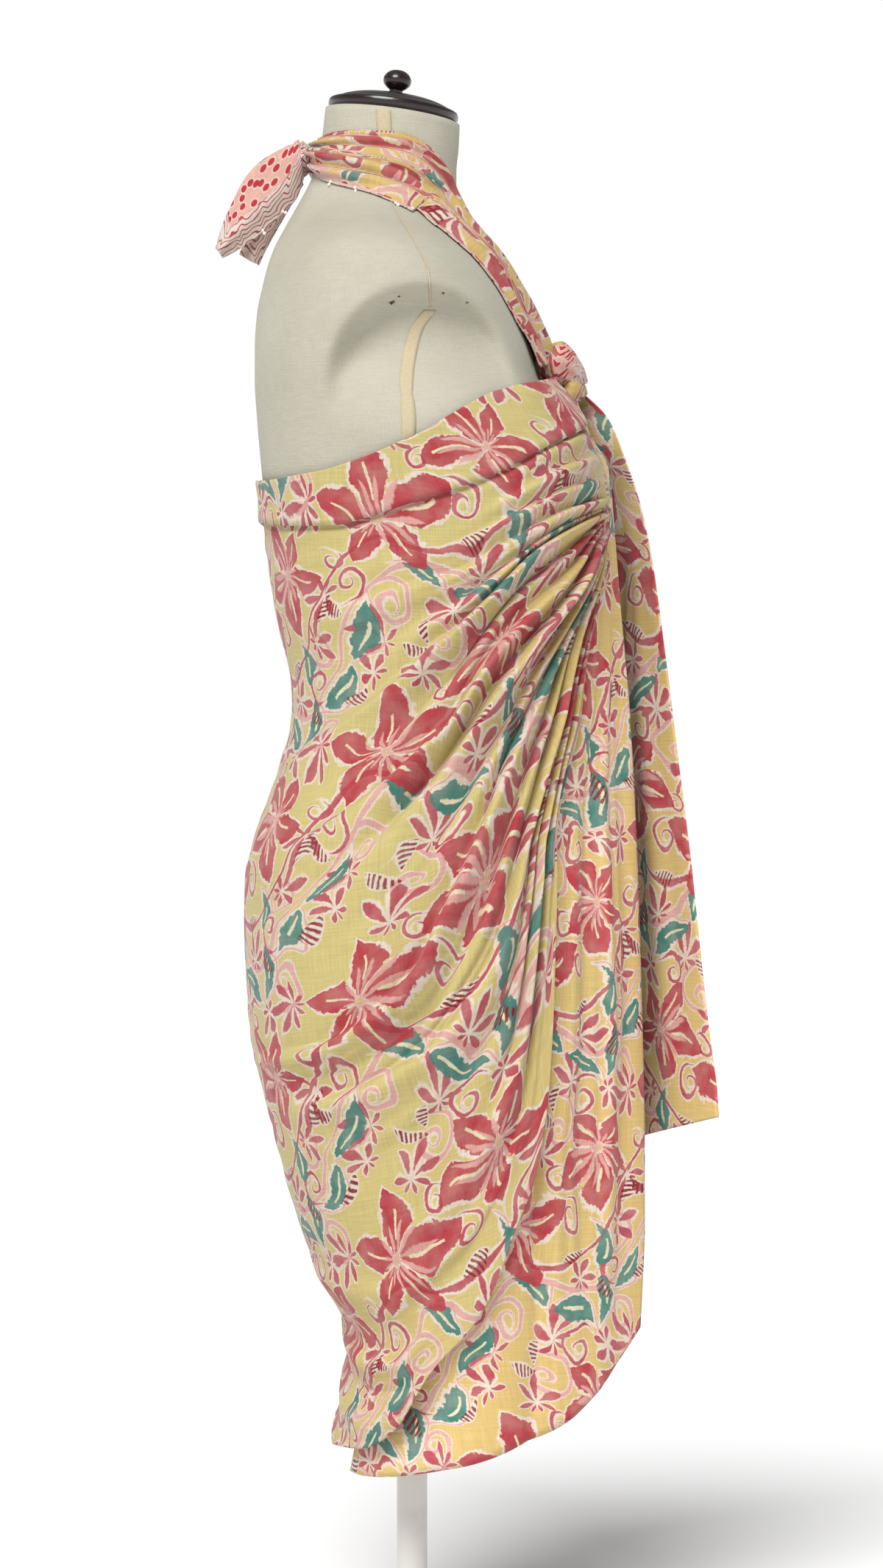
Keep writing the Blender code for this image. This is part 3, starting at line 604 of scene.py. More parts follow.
# The repeat, as charted: across, up, turn in degrees, size, then bend, petal count or hand
REPEAT_CHART = {
    Motif.FLOWER: (
        (0, 0, 20, 58, 5), (104, 64, 205, 50, 5),
    ),
    Motif.LEAF: (
        (-38, 98, 62, 52, 6), (-44, 90, 228, 48, -6), (56, -74, -22, 50, -6), (50, -70, 146, 44, 6),
        (112, -38, 98, 40, 5), (116, -48, 266, 44, -6),
    ),
    Motif.COMB: (
        (64, -30, 24, 30, 4), (-84, 40, 118, 28, -4), (12, 112, -30, 30, 4), (-66, -94, 66, 28, 4),
        (-52, 62, 30, 27, 4), (-34, -88, 150, 26, -4), (44, -96, 250, 25, 4),
    ),
    Motif.PALE_CURL: (
        (-76, 112, 40, 26, 1), (44, 92, 190, 30, -1), (140, -84, 100, 26, 1), (4, -84, 300, 25, -1),
    ),
    Motif.CURL: (
        (-34, -62, 80, 21, 1), (70, 10, 320, 19, -1), (-84, 76, 150, 19, -1), (82, -112, 210, 21, 1),
        (48, 44, 130, 14, 1), (-50, -40, 20, 12, -1),
    ),
    Motif.SPRIG: (
        (28, 66, 75, 19, 7), (-60, -70, 250, 18, 6), (134, 2, 10, 17, 7), (-6, -110, 160, 19, 6),
        (-62, 10, 190, 20, 8), (60, 128, 100, 18, 7), (-16, 82, 130, 15, 6), (88, -54, 60, 16, 7),
        (-100, 8, 300, 13, 6),
    ),
}


@dataclass(frozen=True)
class PrintedCotton:
    """Cotton voile, plain woven with uneven threads and block printed.

    The eye sees a soft yellow cloth with a slightly streaked face, ragged colour edges and pale resist lines.
    """

    name: str = "block_printed_cotton_voile"
    ground: str = "#D9C883"
    # Warmer, slightly darker ground: doubled cloth, and painted shade where the cloth gathers and bunches
    warm_ground: str = "#E2BF78"
    resist: str = "#EFDFD2"
    petal: str = "#BE3D46"
    petal_deep: str = "#9E2B35"
    leaf: str = "#448377"
    pale_stem: str = "#E3AAA0"
    stem: str = "#BC4E58"
    stroke: str = "#8A1824"
    vein: str = "#F0E4BC"
    seed: str = "#C8363E"
    wavy_line: str = "#B04A57"
    seed_halo: str = "#EDB9A8"
    # Share of light the cloth gives back; the brighter copy's higher share is painted light
    reflected: float = 0.63
    # Millimetres on the cloth: size of the repeat, how far it wanders, how ragged its edges are, half the
    # distance between strokes of a comb, where the border's seeds start and where the border ends
    repeat: tuple[float, float] = (212.0, 226.0)
    wander: float = 26.0
    ragged: float = 2.2
    comb_pitch: float = 2.3
    seeds_from: tuple[float, float] = (21.0, 24.0)
    border_end: tuple[float, float] = (50.0, 54.0)

    def place(self, add: Adder, point: tuple[Any, Any], across: float, up: float, turn: float
              ) -> tuple[Any, Any, Any]:
        """Finds where a point lies from the nearest copy of a motif, in a half drop repeat.

        Args:
            add: Adds a node.
            point: The two parts of the place on the cloth, in millimetres.
            across: The motif's place across the repeat.
            up: The motif's place up the repeat.
            turn: The motif's turn in degrees.

        Returns:
            The turned place, and its two parts.
        """
        width, height = self.repeat
        x, y = point
        share = add(MATH, x, 1 / width, -across / width, operation="MULTIPLY_ADD")
        count = add(MATH, share, operation="ROUND")
        moved = add(MATH, count, -width, x, operation="MULTIPLY_ADD")
        raised = add(MATH, count, -height / 2, y, operation="MULTIPLY_ADD")
        raised = add(MATH, raised, up + height / 2, up - height / 2, operation="WRAP")
        spot = add("ShaderNodeCombineXYZ", moved, raised)
        spot = add(VECTOR, spot, (across, up, 0.0), operation="SUBTRACT")
        angle = {"Angle": -math.radians(turn)}
        turned = add("ShaderNodeVectorRotate", spot, named=angle, rotation_type="Z_AXIS")
        parts = self.parts(add, turned)
        return turned, parts[0], parts[1]

    def parts(self, add: Adder, vector: Any) -> tuple[Any, Any]:
        """Splits a vector into its first two parts."""
        first = add("ShaderNodeSeparateXYZ", vector)
        return first, first.node.outputs[1]

    def blade(self, add: Adder, x: Any, y: Any, size: tuple[float, float], skew: float, bend: float,
              start: float = 0.0, teeth: float = 0.0) -> tuple[Any, Any, Any]:
        """Draws a pointed blade along x.

        Args:
            add: Adds a node.
            x: Distance along the blade.
            y: Distance across it.
            size: Length and half width.
            skew: Above nought moves the widest place to the tip.
            bend: How far its middle bows aside.
            start: Where along x it starts.
            teeth: Depth of the saw teeth of its edge.

        Returns:
            Distance outside its edge, outside its vein, and across its middle line.
        """
        length, half_width = size
        part = add(MATH, x, 1 / length, -start / length, operation="MULTIPLY_ADD")
        rest = add(MATH, 1.0, part, operation="SUBTRACT")
        hump = add(MATH, part, rest, operation="MULTIPLY")
        bowed = add(MATH, hump, 4 * bend, y, operation="MULTIPLY_ADD")
        off = add(MATH, bowed, operation="ABSOLUTE")
        lean = add(MATH, part, skew, 1 - skew / 2, operation="MULTIPLY_ADD")
        lean = add(MATH, lean, 0.15, operation="MAXIMUM")
        width = add(MATH, hump, lean, operation="MULTIPLY")
        edge = add(MATH, width, -4 * half_width, off, operation="MULTIPLY_ADD")
        if teeth:
            saw = add(MATH, x, off, operation="ADD")
            saw = add(MATH, saw, 8.5, operation="PINGPONG")
            edge = add(MATH, saw, -teeth / 8.5, edge, operation="MULTIPLY_ADD")
        ends = add(MATH, add(MATH, part, 0.42, operation="SUBTRACT"), operation="ABSOLUTE")
        past = add(MATH, ends, length, -0.25 * length, operation="MULTIPLY_ADD")
        thin = add(MATH, width, -5.2, off, operation="MULTIPLY_ADD")
        vein = add(MATH, thin, past, operation="MAXIMUM")
        return edge, vein, bowed

    def star(self, add: Adder, turned: Any, x: Any, y: Any, count: int, uneven: float) -> tuple[Any, Any]:
        """Folds the plane so that one blade becomes a ring of them.

        Args:
            add: Adds a node.
            turned: Place from the motif's centre.
            x: Its first part.
            y: Its second part.
            count: How many blades.
            uneven: How much longer they are to one side.

        Returns:
            Distance along and across the nearest blade.
        """
        angle = add(MATH, y, x, operation="ARCTAN2")
        radius = add(VECTOR, turned, operation="LENGTH", out=1)
        swing = add(MATH, angle, operation="COSINE")
        swing = add(MATH, swing, uneven, 1.0, operation="MULTIPLY_ADD")
        radius = add(MATH, radius, swing, operation="DIVIDE")
        folded = add(MATH, angle, HALF_TURN / count, -HALF_TURN / count, operation="WRAP")
        along = add(MATH, radius, add(MATH, folded, operation="COSINE"), operation="MULTIPLY")
        aside = add(MATH, radius, add(MATH, folded, operation="SINE"), operation="MULTIPLY")
        return along, aside

    def curl(self, add: Adder, turned: Any, x: Any, y: Any, size: float, hand: float,
             half_width: float) -> Any:
        """Draws a stem that winds into a curl.

        Args:
            add: Adds a node.
            turned: Place from the curl's eye.
            x: Its first part.
            y: Its second part.
            size: Outer radius.
            hand: Which way it winds.
            half_width: Half of the stem's width.

        Returns:
            Distance outside the stem.
        """
        pitch = 0.20
        angle = add(MATH, y, x, operation="ARCTAN2")
        radius = add(VECTOR, turned, operation="LENGTH", out=1)
        log = add(MATH, radius, math.e, operation="LOGARITHM")
        wound = add(MATH, angle, hand * pitch, log, operation="MULTIPLY_ADD")
        turn = HALF_TURN * pitch
        off = add(MATH, add(MATH, wound, turn, -turn, operation="WRAP"), operation="ABSOLUTE")
        gap = add(MATH, off, radius, -half_width, operation="MULTIPLY_ADD")
        outer = add(MATH, radius, size, operation="SUBTRACT")
        inner = add(MATH, 5.0, radius, operation="SUBTRACT")
        return add(MATH, add(MATH, gap, outer, operation="MAXIMUM"), inner, operation="MAXIMUM")

    def vine(self, add: Adder, x: Any, y: Any, sway: float, shift: float, half_width: float) -> Any:
        """Draws a stem that runs on through every repeat.

        Args:
            add: Adds a node.
            x: Place across the cloth.
            y: Place up the cloth.
            sway: How far it swings.
            shift: Its place up the repeat.
            half_width: Half of its width.

        Returns:
            Distance outside the stem.
        """
        width, height = self.repeat
        wave = add(MATH, x, 2 * HALF_TURN / width, shift, operation="MULTIPLY_ADD")
        wave = add(MATH, wave, operation="SINE")
        line = add(MATH, wave, -sway, y, operation="MULTIPLY_ADD")
        line = add(MATH, x, -height / 2 / width, line, operation="MULTIPLY_ADD")
        line = add(MATH, line, shift * 20.0, operation="ADD")
        off = add(MATH, add(MATH, line, height / 2, -height / 2, operation="WRAP"), operation="ABSOLUTE")
        return add(MATH, off, 0.72, -half_width, operation="MULTIPLY_ADD")

    def mask(self, add: Adder, distance: Any, reach: float, blur: float = 0.45) -> Any:
        """Turns a distance to a share that is one inside the reach."""
        return add(RANGE, distance, reach + blur, reach - blur, 0.0, 1.0, interpolation_type="SMOOTHSTEP")

    def blocks(self, add: Adder, point: Any) -> dict[str, Any]:
        """Draws the whole chart.

        Args:
            add: Adds a node.
            point: Place on the cloth in millimetres.

        Returns:
            Distance outside each colour's blocks.
        """
        found: dict[str, list[Any]] = {name: [] for name in (
            "petal", "vein", "eye", "leaf", "line", "stem", "pale", "comb", "stroke")}
        here = self.parts(add, point)
        chart = [(shape, *row) for shape, rows in REPEAT_CHART.items() for row in rows]
        for shape, across, up, turn, size, extra in chart:
            turned, x, y = self.place(add, here, across, up, turn)
            if shape is Motif.FLOWER:
                along, aside = self.star(add, turned, x, y, extra, 0.17)
                petal = (size * 0.90, size * 0.25)
                edge, vein, _ = self.blade(add, along, aside, petal, -0.1, 3.0, size * 0.10, 2.6)
                found["petal"].append(edge)
                found["vein"].append(vein)
                along, aside = self.star(add, turned, x, y, 2 * extra + 3, 0.42)
                edge, _, _ = self.blade(add, along, aside, (size * 0.50, 1.5), 1.2, 0.0)
                found["eye"].append(edge)
            elif shape is Motif.LEAF:
                edge, vein, middle = self.blade(add, x, y, (size, size * 0.17), -0.4, extra, 0.0, 1.7)
                found["leaf"].append(edge)
                found["vein"].append(vein)
                rim = add(MATH, edge, 4.3, operation="SUBTRACT")
                rim = add(MATH, rim, operation="ABSOLUTE")
                rim = add(MATH, rim, 1.1, operation="SUBTRACT")
                below = add(MATH, middle, 0.8 if extra > 0 else -0.8, operation="MULTIPLY")
                found["line"].append(add(MATH, rim, below, operation="MAXIMUM"))
            elif shape is Motif.COMB:
                edge, _, _ = self.blade(add, x, y, (size, size * 0.20), -0.3, extra)
                found["comb"].append(edge)
                slant = add(MATH, y, 0.55, x, operation="MULTIPLY_ADD")
                off = add(MATH, slant, self.comb_pitch, -self.comb_pitch, operation="WRAP")
                off = add(MATH, off, operation="ABSOLUTE")
                line = add(MATH, off, 1.05, operation="SUBTRACT")
                found["stroke"].append(add(MATH, line, edge, operation="MAXIMUM"))
            elif shape is Motif.SPRIG:
                along, aside = self.star(add, turned, x, y, extra, 0.45)
                edge, _, _ = self.blade(add, along, aside, (size, 2.7), 1.2, 0.0, 2.0)
                found["stem"].append(edge)
            else:
                pale = shape is Motif.PALE_CURL
                gap = self.curl(add, turned, x, y, size, extra, 2.2 if pale else 1.7)
                found["pale" if pale else "stem"].append(gap)
        found["stem"].append(self.vine(add, *here, 30.0, 2.2, 1.9))
        found["pale"].append(self.vine(add, *here, -34.0, 4.4, 2.3))
        joined = {}
        for name, distances in found.items():
            nearest = distances[0]
            for distance in distances[1:]:
                nearest = add(MATH, nearest, distance, operation="MINIMUM")
            joined[name] = nearest
        return joined

    def border(self, add: Adder, point: Any, edge: Any, printed: Any) -> Any:
        """Lays the end border over the print: wavy lines by the edge, then rows of seeds.

        Args:
            add: Adds a node.
            point: Place on the cloth in millimetres.
            edge: Distance from the end of the cloth in millimetres.
            printed: Colour of the main print.

        Returns:
            Colour with the border.
        """
        x, _ = self.parts(add, point)
        wobble = add(NOISE, point, named={"Scale": 0.035, "Detail": 1.0}, noise_dimensions="2D")
        swing = add(MATH, wobble, 16.0, add(MATH, x, 0.27, operation="MULTIPLY"), operation="MULTIPLY_ADD")
        wave = add(MATH, swing, operation="SINE")
        wave = add(MATH, wave, 1.7, edge, operation="MULTIPLY_ADD")
        off = add(MATH, add(MATH, wave, 2.1, -2.1, operation="WRAP"), operation="ABSOLUTE")
        lines = self.mask(add, off, 0.55, 0.3)
        stretched = add(VECTOR, point, (0.075, 0.115, 1.0), operation="MULTIPLY")
        spots = add("ShaderNodeTexVoronoi", stretched, named={"Scale": 1.0, "Randomness": 0.85},
                    voronoi_dimensions="2D")
        seeds = self.mask(add, spots, 0.31, 0.04)
        rings = self.mask(add, spots, 0.40, 0.04)
        wavy = add(MIX, lines, linear(self.resist), linear(self.wavy_line))
        pinked = add(MIX, rings, linear(self.seed_halo), linear(self.resist))
        dotted = add(MIX, seeds, pinked, linear(self.seed))
        near_end = add(RANGE, edge, *self.seeds_from, 0.0, 1.0)
        banded = add(MIX, near_end, wavy, dotted)
        past = add(RANGE, edge, *self.border_end, 0.0, 1.0)
        return add(MIX, past, banded, printed)

    def build(self) -> Material:
        """Makes the finish.

        Returns:
            The material.
        """
        recipe = Recipe(self.name, roughness=0.82, ior=1.5)
        add = recipe.add
        recipe.shader.inputs["Sheen Weight"].default_value = 0.12
        recipe.shader.inputs["Specular IOR Level"].default_value = 0.25
        flat = add("ShaderNodeUVMap", uv_map="cloth")
        even = add(VECTOR, flat, named={"Scale": 1000.0}, operation="SCALE")
        drift = add(NOISE, even, named={"Scale": 0.019, "Detail": 1.0}, noise_dimensions="2D", out=1)
        drift = add(VECTOR, drift, (0.5, 0.5, 0.5), operation="SUBTRACT")
        point = add(VECTOR, drift, (self.wander, self.wander, 0.0), even, operation="MULTIPLY_ADD")
        ragged = add(NOISE, even, named={"Scale": 0.26, "Detail": 1.5}, noise_dimensions="2D")
        ragged = add(MATH, ragged, 2 * self.ragged, -self.ragged, operation="MULTIPLY_ADD")
        found = self.blocks(add, point)
        soft = {}
        for name, distance in found.items():
            share = 1.0 if name in ("petal", "leaf") else 0.35
            soft[name] = add(MATH, ragged, share, distance, operation="MULTIPLY_ADD")
        # Slub: uneven threads about 1 mm apart, drawn coarser than the real 0.3 mm so that they show.
        threads = recipe.weave(even, (0.03, 0.85, 1.0), (0.85, 0.03, 1.0), noise_dimensions="2D")
        # Painted shade in part: the ground turns warmer and slightly darker by each point's warm share, with
        # random patches
        warmth = add("ShaderNodeAttribute", attribute_name="warm_share", out=2)
        patch = add(NOISE, even, named={"Scale": 0.008, "Detail": 2.0}, noise_dimensions="2D")
        patch = add(RANGE, patch, 0.35, 0.75, -0.12, 0.16)
        colour = add(MIX, add(MATH, warmth, patch, operation="ADD", use_clamp=True),
                     linear(self.ground), linear(self.warm_ground))
        # Bare resist round each block, so many millimetres wide
        halo = add(MATH, soft["petal"], 3.1, operation="SUBTRACT")
        for name, reach in (("leaf", 2.9), ("line", 1.2), ("stem", 1.7), ("pale", 1.3), ("comb", 1.6)):
            grown = add(MATH, soft[name], reach, operation="SUBTRACT")
            halo = add(MATH, halo, grown, operation="MINIMUM")
        washed = add(NOISE, even, named={"Scale": 0.05, "Detail": 3.0}, noise_dimensions="2D")
        washed = add(RANGE, washed, 0.3, 0.7, 0.82, 1.0)
        halo = add(MATH, self.mask(add, halo, 0.0, 0.7), 0.86, operation="MULTIPLY")
        colour = add(MIX, halo, colour, linear(self.resist))
        red = add(MIX, washed, linear(self.petal_deep), linear(self.petal))
        # Inks in the order of printing, and how far each spreads past its block
        layers = (
            ("pale", 0.0, linear(self.pale_stem)), ("line", 0.0, linear(self.pale_stem)),
            ("stem", 0.0, linear(self.stem)), ("leaf", 0.0, linear(self.leaf)),
            ("petal", 0.0, red), ("eye", 0.2, linear(self.pale_stem)), ("vein", 0.0, linear(self.vein)),
            ("stroke", 0.1, linear(self.stroke)),
        )
        for name, reach, ink in layers:
            share = add(MATH, self.mask(add, soft[name], reach), washed, operation="MULTIPLY")
            colour = add(MIX, share, colour, ink)
        edge = add("ShaderNodeAttribute", attribute_name="edge_mm", out=2)
        colour = self.border(add, even, edge, colour)
        streak = add(RANGE, threads, 0.6, 1.4, 0.86 * self.reflected, 1.10 * self.reflected)
        colour = add(VECTOR, colour, named={"Scale": streak}, operation="SCALE")
        recipe.colour(colour)
        recipe.bump(threads, 0.35, 0.0006)
        return recipe.material


@dataclass(frozen=True)
class FormLinen:
    """Linen stretched over padding: a dry grey-beige weave with thick and thin threads, a little soiled."""

    name: str = "plain_woven_linen"
    thread: str = "#B0AC9C"
    shade: str = "#97937F"

    def build(self) -> Material:
        """Makes the finish.

        Returns:
            The material.
        """
        recipe = Recipe(self.name, roughness=0.9, ior=1.5)
        add = recipe.add
        recipe.shader.inputs["Sheen Weight"].default_value = 0.08
        recipe.shader.inputs["Specular IOR Level"].default_value = 0.2
        place = add("ShaderNodeTexCoord", out=3)
        # Thread lines about 1.1 mm apart, coarser than the real 0.6 mm so that they show.
        threads = recipe.weave(place, (60.0, 60.0, 1500.0), (1400.0, 1400.0, 50.0))
        soil = add(NOISE, place, named={"Scale": 9.0, "Detail": 4.0})
        soil = add(RANGE, soil, 0.35, 0.75, 0.0, 0.45)
        colour = add(MIX, soil, linear(self.thread), linear(self.shade))
        streak = add(RANGE, threads, 0.6, 1.4, 0.88, 1.08)
        colour = add(VECTOR, colour, named={"Scale": streak}, operation="SCALE")
        recipe.colour(colour)
        recipe.bump(threads, 0.45, 0.0008)
        return recipe.material


@dataclass(frozen=True)
class SeamTape:
    """Cotton twill tape sewn over the seams: ecru, with fine slanted ribs."""

    name: str = "cotton_twill_tape"
    thread: str = "#BDB092"
    rib: str = "#A8997A"

    def build(self) -> Material:
        """Makes the finish.

        Returns:
            The material.
        """
        recipe = Recipe(self.name, roughness=0.85, ior=1.5)
        add = recipe.add
        place = add("ShaderNodeTexCoord", out=3)
        ribs = add(NOISE, add(VECTOR, place, (300.0, 300.0, 900.0), operation="MULTIPLY"),
                   named={"Scale": 1.0, "Detail": 2.0})
        recipe.colour(add(MIX, ribs, linear(self.rib), linear(self.thread)))
        recipe.bump(ribs, 0.4, 0.0005)
        return recipe.material


@dataclass(frozen=True)
class TurnedWood:
    """Stained beech, turned and French polished: near black red-brown, with sharp highlights and faint grain.

    The eye sees the highlights first and the grain only close by.
    """

    name: str = "polished_stained_beech"
    stain: str = "#180A0B"
    grain: str = "#2A1312"

    def build(self) -> Material:
        """Makes the finish.

        Returns:
            The material.
        """
        recipe = Recipe(self.name, roughness=0.28, ior=1.5)
        add = recipe.add
        recipe.shader.inputs["Coat Weight"].default_value = 0.25
        recipe.shader.inputs["Coat Roughness"].default_value = 0.1
        place = add("ShaderNodeTexCoord", out=3)
        # Grain runs across the turning with lines about 3 mm apart.
        lines = add(NOISE, add(VECTOR, place, (40.0, 320.0, 320.0), operation="MULTIPLY"),
                    named={"Scale": 1.0, "Detail": 4.0, "Distortion": 0.4})
        recipe.colour(add(MIX, add(RANGE, lines, 0.4, 0.7, 0.0, 0.8), linear(self.stain), linear(self.grain)))
        recipe.bump(lines, 0.12, 0.0003)
        return recipe.material


@dataclass(frozen=True)
class CoatedSteel:
    """Powder coated steel: an even pale face with a faint orange peel."""

    name: str = "powder_coated_steel"
    coat: str = "#D8D6D0"
    worn: str = "#C4C1B9"

    def build(self) -> Material:
        """Makes the finish.

        Returns:
            The material.
        """
        recipe = Recipe(self.name, roughness=0.42, ior=1.5)
        add = recipe.add
        place = add("ShaderNodeTexCoord", out=3)
        peel = add(NOISE, place, named={"Scale": 900.0, "Detail": 2.0})
        scuffs = add(NOISE, place, named={"Scale": 22.0, "Detail": 5.0})
        recipe.colour(add(MIX, add(RANGE, scuffs, 0.5, 0.8, 0.0, 1.0), linear(self.coat), linear(self.worn)))
        recipe.bump(peel, 0.15, 0.0002)
        return recipe.material


@dataclass(frozen=True)
class GlassPearl:
    """Glass beads with a pearl coat: small warm white drops with a soft bright point."""

    name: str = "pearl_coated_glass"
    light: str = "#F4F0E8"
    dark: str = "#D9D0C4"

    def build(self) -> Material:
        """Makes the finish.

        Returns:
            The material.
        """
        recipe = Recipe(self.name, roughness=0.18, ior=1.5)
        add = recipe.add
        recipe.shader.inputs["Coat Weight"].default_value = 0.5
        place = add("ShaderNodeTexCoord", out=3)
        cloud = add(NOISE, place, named={"Scale": 500.0, "Detail": 2.0})
        recipe.colour(add(MIX, cloud, linear(self.light), linear(self.dark)))
        return recipe.material


@dataclass(frozen=True)
class WornHole:
    """Torn linen over padding: a small matt dark spot, the painted shade of the hollow inside, with frayed
    threads.
    """

    name: str = "frayed_linen_hole"
    # Painted shade of the hollow inside each hole
    dark: str = "#2B2620"
    thread: str = "#8C8370"

    def build(self) -> Material:
        """Makes the finish.

        Returns:
            The material.
        """
        recipe = Recipe(self.name, roughness=0.95, ior=1.5)
        add = recipe.add
        place = add("ShaderNodeTexCoord", out=3)
        fray = add(NOISE, place, named={"Scale": 900.0, "Detail": 3.0})
        recipe.colour(add(MIX, add(RANGE, fray, 0.52, 0.6, 0.0, 1.0), linear(self.dark), linear(self.thread)))
        return recipe.material


# Pieces
def add_piece(name: str, mesh: bpy.types.Mesh, finish: Material, slot: str, *nodes: str) -> Object:
    """Adds a finished piece that rides on the part.

    Args:
        name: Piece name.
        mesh: Its mesh in metres.
        finish: Its material.
        slot: The record's material slot; not used.
        nodes: Solids that it stands for.

    Returns:
        The new object.
    """
    item = bpy.data.objects.new(name, mesh)
    mesh.materials.append(finish)
    mesh.polygons.foreach_set("use_smooth", np.ones(len(mesh.polygons), bool))
    bpy.context.scene.collection.objects.link(item)
    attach(item, BODY)
    if nodes:
        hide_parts(*nodes)
    LOG.info("%s: %d faces", name, len(mesh.polygons))
    return item


def cloth_mesh(name: str, points: Grid, outward: Grid, flat: Grid, edge: Grid, warm_share: Grid
               ) -> bpy.types.Mesh:
    """Makes a grid into an open mesh with its flat pattern.

    Args:
        name: Mesh name.
        points: Grid of points in millimetres.
        outward: Rough outward direction at each point.
        flat: Place of each point on the uncut cloth, in millimetres.
        edge: Distance of each point from the end of the cloth, in millimetres.
        warm_share: Share of the warmer, slightly darker ground at each point, partly painted shade.

    Returns:
        The mesh in metres.
    """
    rows, columns = points.shape[:2]
    faces = facing_faces(points, outward)
    mesh = bpy.data.meshes.new(name)
    mesh.from_pydata((points.reshape(-1, 3) * MM).tolist(), [], faces.tolist())
    layer = mesh.uv_layers.new(name="cloth")
    layer.uv.foreach_set("vector", (flat.reshape(-1, 2) * MM)[faces.ravel()].astype(np.float32).ravel())
    for label, values in (("edge_mm", edge), ("warm_share", warm_share)):
        attribute = mesh.attributes.new(label, "FLOAT", "POINT")
        table = np.broadcast_to(values, (rows, columns)).astype(np.float32)
        attribute.data.foreach_set("value", table.ravel())
    mesh.update()
    LOG.info("%s: one layer is %.4f square metres", name, sum(face.area for face in mesh.polygons))
    return mesh


def add_wall(item: Object, thickness: float, outward: bool) -> None:
    """Gives an open cloth its thickness.

    Args:
        item: The cloth.
        thickness: Thickness in millimetres.
        outward: True for a wall outside the grid, false for one inside it.
    """
    wall = item.modifiers.new("thickness", "SOLIDIFY")
    wall.thickness = thickness * MM
    wall.offset = 1.0 if outward else -1.0


def waver(along: Grid, across: Grid, seed: int, scale: tuple[float, float], count: int = 9) -> Grid:
    """Adds soft waves of seeded directions, for cloth that is nowhere quite even.

    Args:
        along: Place along the cloth.
        across: Place across it.
        seed: Which set of waves.
        scale: Waves over the length and over the width.
        count: How many waves.

    Returns:
        Height from about -1 to 1.
    """
    chosen = np.random.default_rng(seed)
    total = np.zeros(np.broadcast(along, across).shape)
    for _ in range(count):
        first = scale[0] * chosen.uniform(0.3, 1.0) * chosen.choice([-1, 1])
        second = scale[1] * chosen.uniform(0.4, 1.0)
        total = total + np.sin(2 * HALF_TURN * (first * along + second * across + chosen.uniform()))
    return total / math.sqrt(count)


